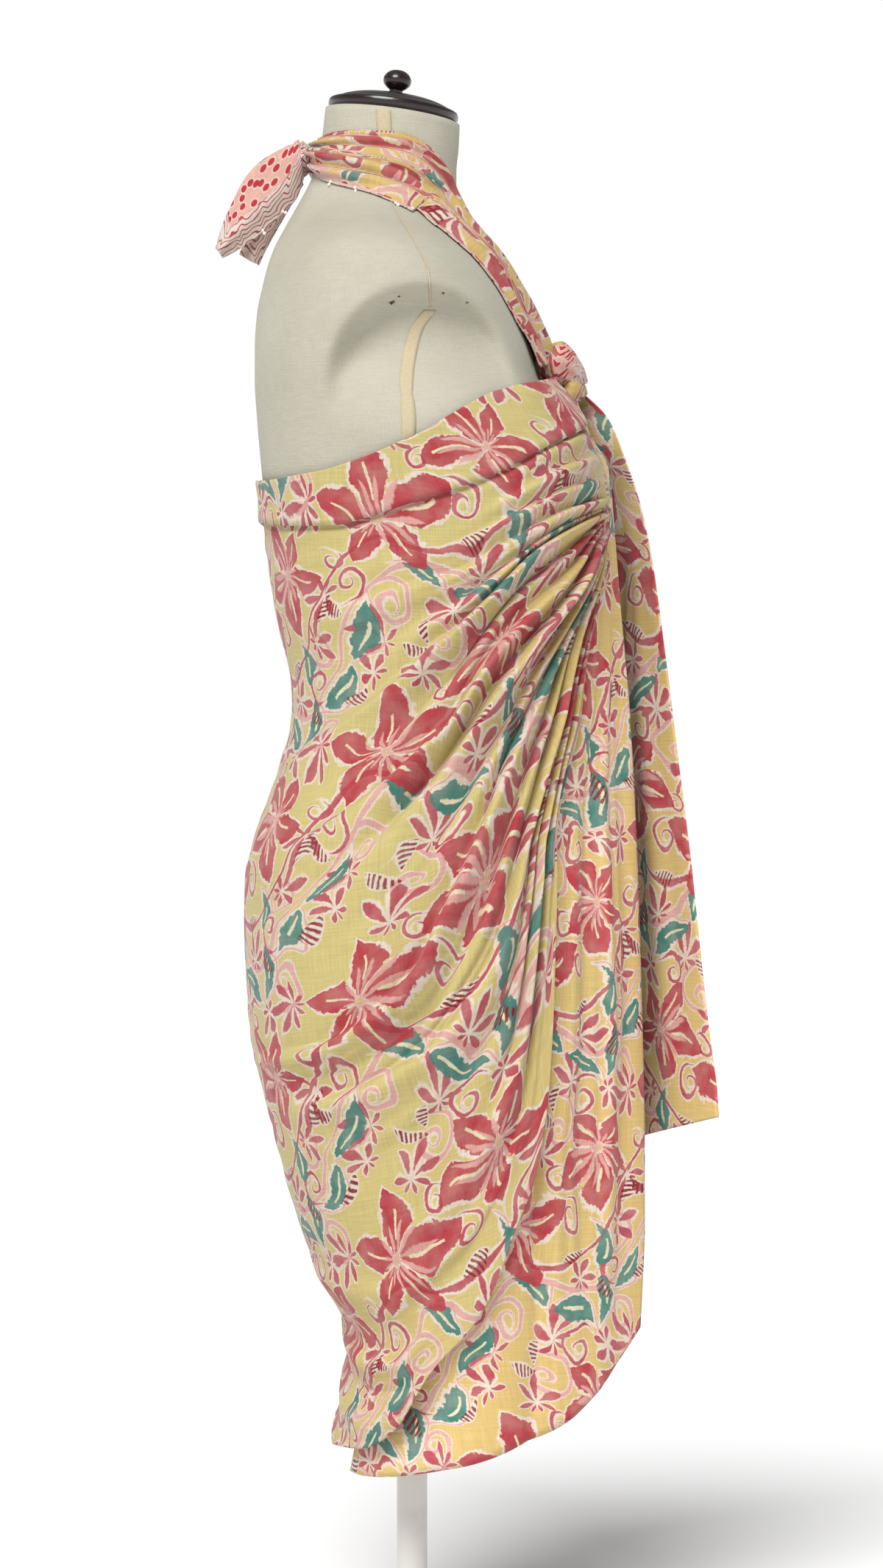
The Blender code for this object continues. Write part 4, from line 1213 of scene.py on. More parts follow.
@dataclass
class DressForm:
    """Limbless padded form with a tilted neck and hollowed arm ovals."""

    columns: int = 176
    rows: int = 170
    neck_centre: float = 18.0
    neck_top: float = 1394.0
    neck_tilt: float = 7.5
    tilt_start: float = 1325.0
    arm_centre: tuple[float, float] = (-12.0, 1122.0)
    arm_reach: tuple[float, float] = (94.0, 101.0)
    arm_rim: tuple[float, float] = (0.78, 1.0)
    arm_side: tuple[float, float] = (0.5, 0.9)
    arm_depth: float = 30.0
    arm_open: tuple[float, float] = (1086.0, 1185.0)
    tape_lift: float = 0.45
    tape_thickness: float = 0.4
    tape_stations: int = 40
    tape_columns: int = 5
    hole_depth: float = 0.35
    # Tapes and threads: depth and height of each point, as seen from the side
    neck_tape: tuple = ((26.0, 1391.0), (24.0, 1362.0), (22.0, 1335.0))
    shoulder_thread: tuple = ((19.0, 1304.0), (9.0, 1283.0), (-5.0, 1256.0), (-16.0, 1229.0), (-17.4, 1203.0))
    side_tape: tuple = ((-17.0, 1200.0), (-4.0, 1180.0), (3.5, 1136.0), (2.5, 1096.0), (2.0, 1070.0))
    # Worn holes: depth, height, radius
    holes: tuple = ((17.2, 1205.7, 2.9), (10.7, 1210.0, 1.3), (-28.5, 1214.0, 1.4), (-50.0, 1207.0, 1.4))

    def points(self, angle: Grid, height: Grid, side: int) -> Grid:
        """Finds points on the form.

        Args:
            angle: Nought at the front, half a turn at the back.
            height: Height before the neck is tilted.
            side: -1 on the near side, 1 on the far side.

        Returns:
            Points with a last axis of three.
        """
        points = ring_points(FORM_RINGS, angle, height, side)
        depth_part = (points[..., 1] - self.arm_centre[0]) / self.arm_reach[0]
        height_part = (points[..., 2] - self.arm_centre[1]) / self.arm_reach[1]
        inside = 1.0 - ease(*self.arm_rim, np.hypot(depth_part, height_part))
        inside = inside * ease(*self.arm_open, points[..., 2])
        flat = ease(*self.arm_side, np.abs(np.sin(angle)))
        points[..., 0] -= np.sign(points[..., 0]) * self.arm_depth * inside * flat
        lean = ease(self.tilt_start, self.neck_top, height) * math.tan(math.radians(self.neck_tilt))
        points[..., 2] = points[..., 2] + lean * (points[..., 1] - self.neck_centre)
        return points

    def grid(self) -> Grid:
        """Samples the whole form.

        Returns:
            Rows of points, each a closed ring that ends where it starts.
        """
        heights = np.linspace(FORM_RINGS[0][0], FORM_RINGS[-1][0], self.rows)
        angles = np.linspace(0.0, 2 * HALF_TURN, self.columns + 1)
        both = np.broadcast_arrays(angles[None, :], heights[:, None])
        return self.points(both[0], both[1], -1)

    def build(self, linen: Material) -> Object:
        """Builds the linen body, closed at the neck and below.

        Args:
            linen: Its material.

        Returns:
            The body.
        """
        grid = self.grid()[:, :-1]
        rows, columns = grid.shape[:2]
        vertices = (grid.reshape(-1, 3) * MM).tolist()
        first = (np.arange(rows - 1)[:, None] * columns + np.arange(columns)[None, :]).ravel()
        after = (np.arange(rows - 1)[:, None] * columns + (np.arange(columns)[None, :] + 1) % columns).ravel()
        faces = np.stack([first, first + columns, after + columns, after], axis=-1).tolist()
        faces.append(list(range(columns)))
        faces.append([(rows - 1) * columns + column for column in reversed(range(columns))])
        mesh = bpy.data.meshes.new("linen_body")
        mesh.from_pydata(vertices, [], faces)
        mesh.update()
        return add_piece("linen_body", mesh, linen, "linen", "dress_form")

    def strip(self, name: str, path: tuple, half_width: float, finish: Material) -> Object:
        """Lays a narrow strip on the near side of the form.

        Args:
            name: Piece name.
            path: Depth and height of each point of it.
            half_width: Half of its width.
            finish: Its material.

        Returns:
            The strip.
        """
        table = np.asarray(path, float)
        read = curve(np.linspace(0, 1, len(path)), table, np.linspace(0, 1, self.tape_stations))
        angle, height = side_angle(FORM_RINGS, read[:, 0], read[:, 1]), read[:, 1]
        rows, places = [], np.linspace(-1.0, 1.0, self.tape_columns)
        spot = self.points(angle, height, -1)
        ahead = self.points(angle + ANGLE_STEP, height, -1)
        step = np.linalg.norm(ahead - spot, axis=-1) / ANGLE_STEP
        for place in places:
            rows.append(self.points(angle + place * half_width / step, height, -1))
        grid = np.stack(rows, axis=1)
        outward = level_out(grid, self.neck_centre)
        normal = grid_normals(grid, outward)
        grid = grid + normal * self.tape_lift * (1.0 - places ** 6 * 0.6)[None, :, None]
        mesh = cloth_mesh(name, grid, outward, grid[..., 1:], np.array(FAR_FROM_END), np.array(0.0))
        item = add_piece(name, mesh, finish, "linen")
        add_wall(item, self.tape_thickness, True)
        return item

    def pierced(self, finish: Material) -> Object:
        """Builds the small worn holes as flat spots in the linen, dark with painted shade.

        Args:
            finish: Their material.

        Returns:
            The holes.
        """
        shape = bmesh.new()
        for depth, height, radius in self.holes:
            angle = side_angle(FORM_RINGS, np.array([depth]), np.array([height]))
            spot = self.points(angle, np.array([height]), -1)[0]
            made = bmesh.ops.create_icosphere(shape, subdivisions=2, radius=1.0)["verts"]
            for vertex in made:
                ragged = 1.0 + 0.25 * math.sin(5 * math.atan2(vertex.co.y, vertex.co.z) + depth)
                size = np.array([self.hole_depth, radius * ragged, radius * ragged])
                vertex.co = Vector((np.array(vertex.co) * size + spot) * MM)
        mesh = bpy.data.meshes.new("linen_holes")
        shape.to_mesh(mesh)
        shape.free()
        return add_piece("linen_holes", mesh, finish, "linen")

    def dress(self, linen: Material, tape: Material, hole: Material) -> None:
        """Builds the form with its tapes, seam thread and worn holes.

        Args:
            linen: Material of the body.
            tape: Material of the tapes and the thread.
            hole: Material of the holes.
        """
        self.build(linen)
        self.strip("neck_seam_tape", self.neck_tape, 7.0, tape)
        self.strip("side_seam_tape", self.side_tape, 6.0, tape)
        self.strip("shoulder_seam_thread", self.shoulder_thread, 0.6, tape)
        self.pierced(hole)


@dataclass
class TurnedPiece:
    """A piece turned about its own axis."""

    name: str
    node: str
    slot: str
    profile: tuple
    place: tuple[float, float, float]
    tilt: float
    steps: int = 96
    corner: float = 0.2

    def smooth_profile(self) -> np.ndarray:
        """Eases the corners of the profile.

        Returns:
            Radius and height of each point.
        """
        table = np.asarray(self.profile, float)
        for _ in range(2):
            middle = [table[0]]
            for start, end in zip(table[:-1], table[1:]):
                middle.append(start * (1 - self.corner) + end * self.corner)
                middle.append(start * self.corner + end * (1 - self.corner))
            middle.append(table[-1])
            table = np.array(middle)
        table[0, 0] = table[-1, 0] = 0.0
        return table

    def build(self, finish: Material) -> Object:
        """Builds the turned shape in place.

        Args:
            finish: Its material.

        Returns:
            The piece.
        """
        table = self.smooth_profile()
        angles = np.linspace(0, 2 * HALF_TURN, self.steps, endpoint=False)
        ring = np.stack([np.outer(table[1:-1, 0], np.cos(angles)), np.outer(table[1:-1, 0], np.sin(angles)),
                         np.repeat(table[1:-1, 1][:, None], self.steps, axis=1)], axis=-1)
        points = np.concatenate([ring.reshape(-1, 3), [[0, 0, table[0, 1]]], [[0, 0, table[-1, 1]]]])
        lean = math.radians(self.tilt)
        y, z = points[:, 1].copy(), points[:, 2].copy()
        points[:, 1] = y * math.cos(lean) - z * math.sin(lean)
        points[:, 2] = y * math.sin(lean) + z * math.cos(lean)
        points += np.array(self.place)
        rows, faces = len(table) - 2, []
        for row in range(rows - 1):
            for step in range(self.steps):
                after = (step + 1) % self.steps
                low, high = row * self.steps, (row + 1) * self.steps
                faces.append((low + step, high + step, high + after, low + after))
        top, foot = rows * self.steps, rows * self.steps + 1
        for step in range(self.steps):
            after = (step + 1) % self.steps
            faces.append((top, step, after))
            faces.append((foot, (rows - 1) * self.steps + after, (rows - 1) * self.steps + step))
        mesh = bpy.data.meshes.new(self.name)
        mesh.from_pydata((points * MM).tolist(), [], faces)
        mesh.update()
        return add_piece(self.name, mesh, finish, self.slot, self.node)


@dataclass
class BodyWrap:
    """The cloth from the chest gather round the near side, the back and the far side.

    Sizes are in millimetres. Places, and widths of folds, are shares of the way down the cloth.
    """

    form: DressForm
    rows: int = 232
    low_rows: int = 76
    low_from: float = 0.88
    stations: int = 78
    station_power: float = 1.15
    far_sway: float = 14.0
    sway_end: float = 0.85
    thickness: float = 0.9
    layer_gap: float = 1.28
    knot_reach: float = 0.8
    band_step: float = 4.2
    band_lip: float = 5.0
    band_edge: tuple[float, float] = (0.076, 0.082)
    edge_lift: float = 8.0
    edge_lift_from: float = 0.94
    slope_limit: float = 1.9
    fold_scale: float = 1.36
    steep: float = 0.40
    overhang: float = 0.50
    sink: float = 0.22
    fold_rise: tuple[float, float] = (0.0, 0.16)
    seat_places: tuple[float, float] = (0.02, 0.10)
    seat_angles: tuple[float, float] = (22.0, 50.0)
    half_girth: float = 520.0
    girth_height: float = 600.0
    take_up: float = 11.0
    take_up_height: float = 8.0
    # How far folds stray along the wrap, and the count and phase of the waves that they stray by
    drift: float = 0.011
    fine_drift: float = 0.012
    near_wave: tuple[float, float] = (1.4, 3.1)
    far_wave: tuple[float, float] = (1.1, 4.3)
    uneven_wave: tuple[float, float] = (1.2, 5.3)
    fine_wave: tuple[float, float] = (1.9, 2.3)
    # Groove below the band: depth, distance below its edge, half width, and half width of the lip above it
    groove: tuple[float, float, float] = (2.0, 0.005, 0.008)
    lip_width: float = 0.007
    # Folds at the lower back: slope, and the two stretches round the body in which they die away
    low_slope: float = 0.12
    low_gone: tuple[float, float, float, float] = (0.86, 1.0, 1.02, 1.25)
    # Heights of the soft bends and of the crinkles, in millimetres
    bend: float = 1.1
    crinkle: float = 0.28
    # Share of the warmer, slightly darker ground, painted shade of gathered and bunched cloth: by the gather,
    # and at the lower edge
    warm_gather: float = 0.75
    warm_edge: float = 0.35
    flat: tuple[float, float] = (0.93, 0.90)

    def lines(self) -> tuple[Grid, Grid]:
        """Spaces the grid, closer toward the lower edge and the gather.

        Returns:
            Places of the rows down the wrap, and stations of the columns round half of it.
        """
        upper = np.linspace(0.0, self.low_from, self.rows, endpoint=False)
        places = np.concatenate([upper, np.linspace(self.low_from, 1.0, self.low_rows)])
        return places, np.linspace(0.0, 1.0, self.stations) ** self.station_power

    def base(self, places: Grid, stations: Grid) -> tuple[Grid, Grid]:
        """Lays the unfolded wrap along its guides.

        Args:
            places: Places of the rows.
            stations: Stations of the columns.

        Returns:
            The whole grid, and the angles of one side.
        """
        guides, guide_places = [], []
        for place, start_angle, start_height, end_height, line in WRAP_GUIDES:
            table = np.asarray(line, float)
            angles = side_angle(WRAP_RINGS, table[:, 0], table[:, 1])
            angles = np.concatenate([[math.radians(start_angle)], angles, [HALF_TURN]])
            heights = np.concatenate([[start_height], table[:, 1], [end_height]])
            there = ring_points(WRAP_RINGS, angles, heights, -1)
            run = arc_lengths(there, 0)
            guides.append(curve(run / run[-1], np.stack([angles, heights], axis=-1), stations))
            guide_places.append(place)
        both = curve(guide_places, np.array(guides), places)
        angle, height = both[..., 0], both[..., 1]
        swing = np.sin(HALF_TURN * np.minimum(places / self.sway_end, 1.0))[:, None]
        sway = self.far_sway * np.sin(HALF_TURN * stations)[None, :] * swing
        near = self.worn(angle, height, places, -1)
        far = self.worn(angle, height + sway, places, 1)
        return np.concatenate([near, far[:, -2::-1]], axis=1), angle

    def worn(self, angle: Grid, height: Grid, places: Grid, side: int) -> Grid:
        """Finds points of the wrap, with the top edge laid on the form.

        Args:
            angle: Angle of each point.
            height: Height of each point.
            places: Places of the rows.
            side: -1 on the near side, 1 on the far side.

        Returns:
            Grid of points.
        """
        loose = ring_points(WRAP_RINGS, angle, height, side)
        under = self.form.points(angle, height, side)
        seat = 1.0 - ease(*self.seat_places, places)[:, None]
        seat = seat * ease(math.radians(self.seat_angles[0]), math.radians(self.seat_angles[1]), angle)
        laid = under + level_out(under, self.form.neck_centre) * self.layer_gap
        return loose + (laid - loose) * seat[..., None]

    def two_sides(self, near: Grid, far: Grid) -> Grid:
        """Joins the near and far halves of a table at the back."""
        return np.concatenate([near, far[..., -2::-1]], axis=-1)

    def limited(self, heights: Grid, most: Grid) -> Grid:
        """Keeps heights below what the room for a fold allows."""
        return heights * most / np.sqrt(heights ** 2 + most ** 2 + TINY)

    def wave(self, stations: Grid, place: float, count: tuple[float, float]) -> Grid:
        """Waves along the stations, with a phase that each place has for itself."""
        return np.sin(2 * HALF_TURN * (count[0] * stations + count[1] * place))

    def folds(self, places: Grid, stations: Grid, spread: Grid) -> Grid:
        """Adds up the folds and the fine creases.

        Args:
            places: Places of the rows.
            stations: Stations of the columns.
            spread: Length of cloth for each unit of place, at each point.

        Returns:
            Height of each point above the unfolded cloth.
        """
        rise = ease(*self.fold_rise, stations)
        whole = np.zeros(spread.shape)
        for place, half_width, near_height, far_height, fade_from, fade_to in WRAP_FOLDS:
            near_drift = self.drift * self.wave(stations, place, self.near_wave) * stations
            far_drift = self.drift * self.wave(stations, place, self.far_wave) * stations
            shift = self.two_sides(near_drift[None, :], far_drift[None, :])
            uneven = 0.85 + 0.30 * self.wave(stations, place, self.uneven_wave)
            along = rise * uneven * (1.0 - ease(fade_from, fade_to, stations)) * self.fold_scale
            widened = half_width * (1.0 + 0.35 * ease(0.1, 0.8, stations))
            widened = self.two_sides(widened[None, :], widened[None, :])
            offset = places[:, None] - place - shift
            across = ridge(offset, widened, self.steep) - self.sink * ridge(offset, 2.2 * widened)
            heights = self.two_sides(near_height * along, far_height * along)[None, :]
            whole += across * self.limited(heights, self.slope_limit * half_width * spread)
        for place, half_width, near_depth, far_depth, start, end in FINE_CREASES:
            drift = self.fine_drift * self.wave(stations, place, self.fine_wave) * stations
            shift = self.two_sides(drift[None, :], drift[None, :])
            across = ridge(places[:, None] - place - shift, half_width)
            middle = (start + end) / 2
            along = ease(start - 0.1, middle, stations) * (1.0 - ease(middle, end, stations))
            along = along * self.fold_scale
            heights = self.two_sides(near_depth * along, far_depth * along)[None, :]
            whole += across * self.limited(heights, self.slope_limit * half_width * spread)
        return whole

    def edges(self, places: Grid, spread: Grid) -> Grid:
        """Raises the turned band at the top and the free lower edge.

        Args:
            places: Places of the rows.
            spread: Length of cloth for each unit of place, at each point.

        Returns:
            How far each point stands out.
        """
        depth, below, half_width = self.groove
        band = self.band_step * (1.0 - ease(*self.band_edge, places))[:, None]
        band = band - depth * ridge(places - self.band_edge[1] - below, half_width)[:, None]
        lift = self.limited(self.edge_lift, 0.9 * (1.0 - self.edge_lift_from) * spread)
        return band + lift * ease(self.edge_lift_from, 1.0, places)[:, None]

    def pattern(self, angle: Grid, places: Grid, stations: Grid, points: Grid) -> Grid:
        """Lays the wrap out flat.

        Args:
            angle: Angles of one side.
            places: Places of the rows.
            stations: Stations of the columns.
            points: The unfolded grid.

        Returns:
            Where each point lies on the flat cloth: round the body, and up it.
        """
        turn = np.linspace(0.0, HALF_TURN, 400)
        ring = ring_points(WRAP_RINGS, turn, np.full(turn.shape, self.girth_height), -1)
        run = arc_lengths(ring, 0)
        share = 1.0 - np.interp(angle, turn, run / run[-1])
        round_body = self.two_sides(share, -share) * self.half_girth
        steps = np.zeros((len(places), len(stations)))
        for place, half_width, near_height, _, fade_from, fade_to in WRAP_FOLDS:
            gone = 1.0 - ease(fade_from * 0.5, fade_to, stations)
            passed = ease(place + half_width * 0.6, place + half_width * 1.1, places)[:, None]
            steps += passed * gone * near_height / self.take_up_height
        steps = self.two_sides(steps, steps) * self.take_up
        return np.stack([round_body, points[..., 2] - steps], axis=-1)

    def build(self, cotton: Material, form_tree: BVHTree) -> tuple[Object, Grid]:
        """Builds the wrap.

        Args:
            cotton: Its material.
            form_tree: Search tree of the form.

        Returns:
            The wrap and its grid.
        """
        places, stations = self.lines()
        points, angle = self.base(places, stations)
        outward = level_out(points, self.form.neck_centre)
        normal = grid_normals(points, outward)
        spread = np.linalg.norm(np.gradient(points, places, axis=0), axis=-1)
        height = self.folds(places, stations, spread)[..., None]
        down = np.gradient(points, axis=0)
        down /= np.maximum(np.linalg.norm(down, axis=-1, keepdims=True), TINY)
        edges = self.edges(places, spread)[..., None]
        folded = points + normal * (height + edges) - down * self.overhang * height
        lip = ridge(places - self.band_edge[0], self.lip_width)[:, None, None]
        folded = folded + down * self.band_lip * lip
        both = np.concatenate([stations, 2.0 - stations[-2::-1]])[None, :]
        bunch = np.zeros(both.shape)
        for place, half_width, low_height, start, end in LOW_FOLDS:
            slope = (self.low_slope + place - 0.9) * (both - 1.0)
            across = ridge(places[:, None] - place + slope, half_width, 0.3)
            gone = 1.0 - 0.6 * ease(*self.low_gone[:2], both) - 0.4 * ease(*self.low_gone[2:], both)
            bunch = bunch + low_height * across * ease(start, end, both) * gone
        bend = waver(both, places[:, None], 5, (1.6, 7.0)) * ease(0.10, 0.3, places)[:, None]
        crinkle = waver(both, places[:, None], 21, (2.6, 34.0), 14)
        folded = folded + normal * (bunch + self.bend * bend + self.crinkle * crinkle)[..., None]
        folded = lay_over(folded, form_tree, self.layer_gap)
        folded = keep_clear(folded, CHEST_KNOT, self.knot_reach)
        flat = self.pattern(angle, places, stations, points)
        gathered = self.two_sides(stations[None, :], stations[None, :])
        # Painted shade in part: warmer ground by the gather and toward the bunched lower edge
        warm_share = (1.0 - ease(0.05, 0.55, gathered)) * ease(0.2, 0.35, places)[:, None] * self.warm_gather
        warm_share = warm_share + self.warm_edge * ease(0.72, 1.0, places)[:, None] * (1.0 - warm_share)
        mesh = cloth_mesh("wound_body_cloth", folded, outward, flat, np.array(FAR_FROM_END), warm_share)
        item = add_piece("wound_body_cloth", mesh, cotton, "yellow_cotton", "body_wrap")
        add_wall(item, self.thickness, True)
        return item, folded


@dataclass
class HangingFall:
    """A front stretch of the cloth that hangs from the chest knot to its own side edge."""

    name: str
    node: str
    side: Side
    table: tuple
    fold_table: tuple
    gap: float
    flat: tuple[float, float]
    across_count: int = 90
    down_count: int = 130
    leaves_at: float = 0.44
    hem_power: float = 2.2
    # How far folds stray across the fall, and the count and phase of the wave that they stray by
    wander: float = 0.016
    wander_wave: tuple[float, float] = (1.1, 3.0)
    steep: float = 0.12
    hem_calm: float = 0.85
    calm_from: tuple[float, float] = (0.74, 0.98)
    fold_scale: float = 0.8
    soft: float = 1.1
    hem_sag: float = 0.0
    sag_from: float = 0.8
    bow: float = 10.0
    bow_ramp: tuple[float, float] = (0.25, 0.6)
    under_layer: float = 6.0
    # How far the wrap above is looked for, and how far past its edge it still counts
    cover_reach: tuple[float, float] = (45.0, 6.0)
    # Shift of its flat pattern round the body and down, so that its print differs from the wrap's
    flat_start: tuple[float, float] = (37.0, 40.0)
    knot_reach: float = -0.6
    thickness: float = 0.9
    neck_centre: float = 18.0
    seed: int = 3

    def grid(self) -> tuple[Grid, Grid]:
        """Shapes the fall.

        Returns:
            Its points and their rough outward directions.
        """
        table = np.asarray(self.table, float)
        down = np.linspace(0.0, 1.0, self.down_count)
        read = curve(table[:, 0], table[:, 1:], down)
        rear_y, rear_z, leave_y, leave_z, edge_x, edge_y, edge_z = [column[:, None] for column in read.T]
        across = np.linspace(0.0, 1.0, self.across_count)[None, :]
        side = self.side.value
        under = np.clip(across / self.leaves_at, 0.0, 1.0)
        free = np.clip((across - self.leaves_at) / (1.0 - self.leaves_at), 0.0, 1.0)
        rear_angle = side_angle(WRAP_RINGS, rear_y, rear_z)
        leave_angle = side_angle(WRAP_RINGS, leave_y, leave_z)
        angle = rear_angle + (leave_angle - rear_angle) * under
        height = rear_z + (leave_z - rear_z) * under ** self.hem_power
        lying = ring_points(WRAP_RINGS, angle, height, side)
        lying = lying - level_out(lying, self.neck_centre) * self.under_layer
        leave = ring_points(WRAP_RINGS, leave_angle, leave_z, side)
        leave = leave - level_out(leave, self.neck_centre) * self.under_layer
        edge = np.stack([side * edge_x, edge_y, edge_z], axis=-1)
        hanging = leave + (edge - leave) * free[..., None]
        hanging[..., 0] += side * self.bow * np.sin(HALF_TURN * free) * ease(*self.bow_ramp, down)[:, None]
        hanging[..., 2] -= self.hem_sag * np.sin(HALF_TURN * free) * ease(self.sag_from, 1.0, down)[:, None]
        points = np.where((across < self.leaves_at)[..., None], lying, hanging)
        outward = np.zeros_like(points)
        outward[..., 0] = side
        normal = grid_normals(points, outward)
        count, phase = self.wander_wave
        for place, half_width, fold_height, start, full in self.fold_table:
            wander = np.sin(2 * HALF_TURN * (count * down[:, None] + phase * place))
            moved = across - place - self.wander * wander
            along = ease(start, full, down) * (1.0 - self.hem_calm * ease(*self.calm_from, down))
            lift = self.fold_scale * fold_height * ridge(moved, half_width, self.steep) * along[:, None]
            points = points + normal * lift[..., None]
        soft = waver(down[:, None], across, self.seed, (1.4, 3.5)) * ease(0.15, 0.4, down)[:, None]
        points = points + normal * (self.soft * soft * free)[..., None]
        return keep_clear(points, CHEST_KNOT, self.knot_reach), outward

    def build(self, cotton: Material, cover: BVHTree) -> Object:
        """Builds the fall, tucked under the wrap.

        Args:
            cotton: Its material.
            cover: Search tree of the wrap.

        Returns:
            The fall.
        """
        points, outward = self.grid()
        points = tuck_under(points, cover, self.gap, *self.cover_reach)
        from_edge = arc_lengths(points[:, ::-1], 1)[:, ::-1]
        round_body = self.side.value * (from_edge + self.flat_start[0])
        flat = np.stack([round_body, points[..., 2] - self.flat_start[1]], axis=-1)
        mesh = cloth_mesh(self.name, points, outward, flat, np.array(FAR_FROM_END), np.array(0.8))
        item = add_piece(self.name, mesh, cotton, "yellow_cotton", self.node)
        add_wall(item, self.thickness, False)
        return item


@dataclass
class HalterStrap:
    """A corner of the cloth rolled into a strap that lies over the shoulder."""

    name: str
    node: str
    side: Side
    form: DressForm
    drop: float
    flat: tuple[float, float]
    stations: int = 150
    columns: int = 56
    dome: float = 6.5
    fullness: float = 1.16
    lift: float = 1.0
    edge_lift: float = 0.9
    edge_from: float = 0.8
    front_fullness: float = 0.90
    front_end: tuple[float, float] = (0.35, 0.80)
    rise: float = 5.0
    rise_end: float = 0.22
    gap: float = 1.45
    knot_reach: float = 1.9
    thickness: float = 0.9
    # Length of print along the strap for each length of strap, and where it starts
    print_along: tuple[float, float] = (0.85, 20.0)
    # Where cloth is hidden in the rolls, and how much of it each time
    hidden_places: tuple[float, ...] = (-0.50, -0.06, 0.38, 0.72)
    hidden_width: float = 83.0
    # How fast the cloth's end is left behind across the strap: at the chest, and how much slower at the nape
    end_leaves: tuple[float, float] = (12.0, 10.4)
    end_turns: tuple[float, float] = (0.62, 0.97)
    # Rolls across the strap: middle, half width, height, twist along the strap
    rolls: tuple = ((-0.72, 0.20, 4.4, 0.12), (-0.30, 0.22, 6.8, -0.18), (0.16, 0.20, 6.0, 0.20),
                    (0.56, 0.17, 5.0, -0.14), (0.84, 0.11, 3.0, 0.07))

    def grid(self, form_tree: BVHTree) -> tuple[Grid, Grid]:
        """Shapes the strap.

        Args:
            form_tree: Search tree of the form.

        Returns:
            Its points and their outward directions.
        """
        path = np.asarray(STRAP_PATH, float)
        along = np.linspace(0.0, 1.0, self.stations)
        side = self.side.value
        run = arc_lengths(self.form.points(np.radians(path[:, 0]), path[:, 1], side), 0)
        read = curve(run / run[-1], path, along)
        angle = np.radians(read[:, 0])
        width = read[:, 2] * (self.fullness + self.front_fullness * (1.0 - ease(*self.front_end, along)))
        height = read[:, 1] - self.drop * np.sin(HALF_TURN * along)
        centre = self.form.points(angle, height, side)
        by_angle = (self.form.points(angle + ANGLE_STEP, height, side) - centre) / ANGLE_STEP
        by_height = (self.form.points(angle, height + SURFACE_STEP, side) - centre) / SURFACE_STEP
        tangent = np.gradient(centre, axis=0)
        normal = np.cross(by_angle, by_height)
        normal /= np.linalg.norm(normal, axis=-1, keepdims=True)
        away = centre - [0.0, self.form.neck_centre, height.mean()]
        normal *= np.sign(np.sum(normal * away, axis=-1, keepdims=True))
        breadth = np.cross(normal, tangent)
        breadth /= np.linalg.norm(breadth, axis=-1, keepdims=True)
        if breadth[self.stations // 2, 2] < 0:
            breadth = -breadth
        across = np.linspace(-1.0, 1.0, self.columns)
        grid = np.zeros((self.stations, self.columns, 3))
        for index in range(self.stations):
            plane = np.stack([by_angle[index], by_height[index]], axis=-1)
            wanted = breadth[index][:, None] * across[None, :] * width[index] / 2
            step = np.linalg.lstsq(plane, wanted, rcond=None)[0]
            spot = self.form.points(angle[index] + step[0], height[index] + step[1], side)
            rolled = np.zeros(self.columns)
            for middle, half_width, roll_height, twist in self.rolls:
                moved = across - middle - twist * math.sin(2 * HALF_TURN * along[index] * 0.9 + middle * 3)
                rolled = np.maximum(rolled, roll_height * ridge(moved, half_width))
            edge = 1.0 - ease(self.edge_from, 1.0, np.abs(across))
            lift = self.edge_lift + (self.lift + self.dome * (1.0 - across ** 2) + rolled) * edge
            lift = lift + self.rise * (1.0 - ease(0.0, self.rise_end, along[index]))
            grid[index] = spot + normal[index] * lift[:, None]
        outward = np.broadcast_to(normal[:, None, :], grid.shape)
        grid = lay_over(grid, form_tree, self.gap)
        grid = keep_clear(keep_clear(grid, CHEST_KNOT, self.knot_reach), NAPE_KNOT, self.knot_reach)
        return grid, outward

    def build(self, cotton: Material, form_tree: BVHTree) -> tuple[Object, Grid]:
        """Builds the strap.

        Args:
            cotton: Its material.
            form_tree: Search tree of the form.

        Returns:
            The strap and its grid.
        """
        points, outward = self.grid(form_tree)
        across = arc_lengths(points, 1)
        down_strap = arc_lengths(points[:, self.columns // 2], 0)[:, None] + 0 * across
        share = np.linspace(-1.0, 1.0, self.columns)[None, :]
        hidden = sum(ease(place - 0.05, place + 0.05, share) for place in self.hidden_places)
        over = across * 0.8 + self.hidden_width * hidden + 0.15 * down_strap
        flat = np.stack([down_strap * self.print_along[0] + self.print_along[1], over], axis=-1)
        leaves, slower = self.end_leaves
        edge = across * (leaves - slower * ease(*self.end_turns, down_strap / down_strap.max()))
        mesh = cloth_mesh(self.name, points, outward, flat, edge, np.array(0.9))
        item = add_piece(self.name, mesh, cotton, "yellow_cotton", self.node)
        add_wall(item, self.thickness, True)
        return item, points


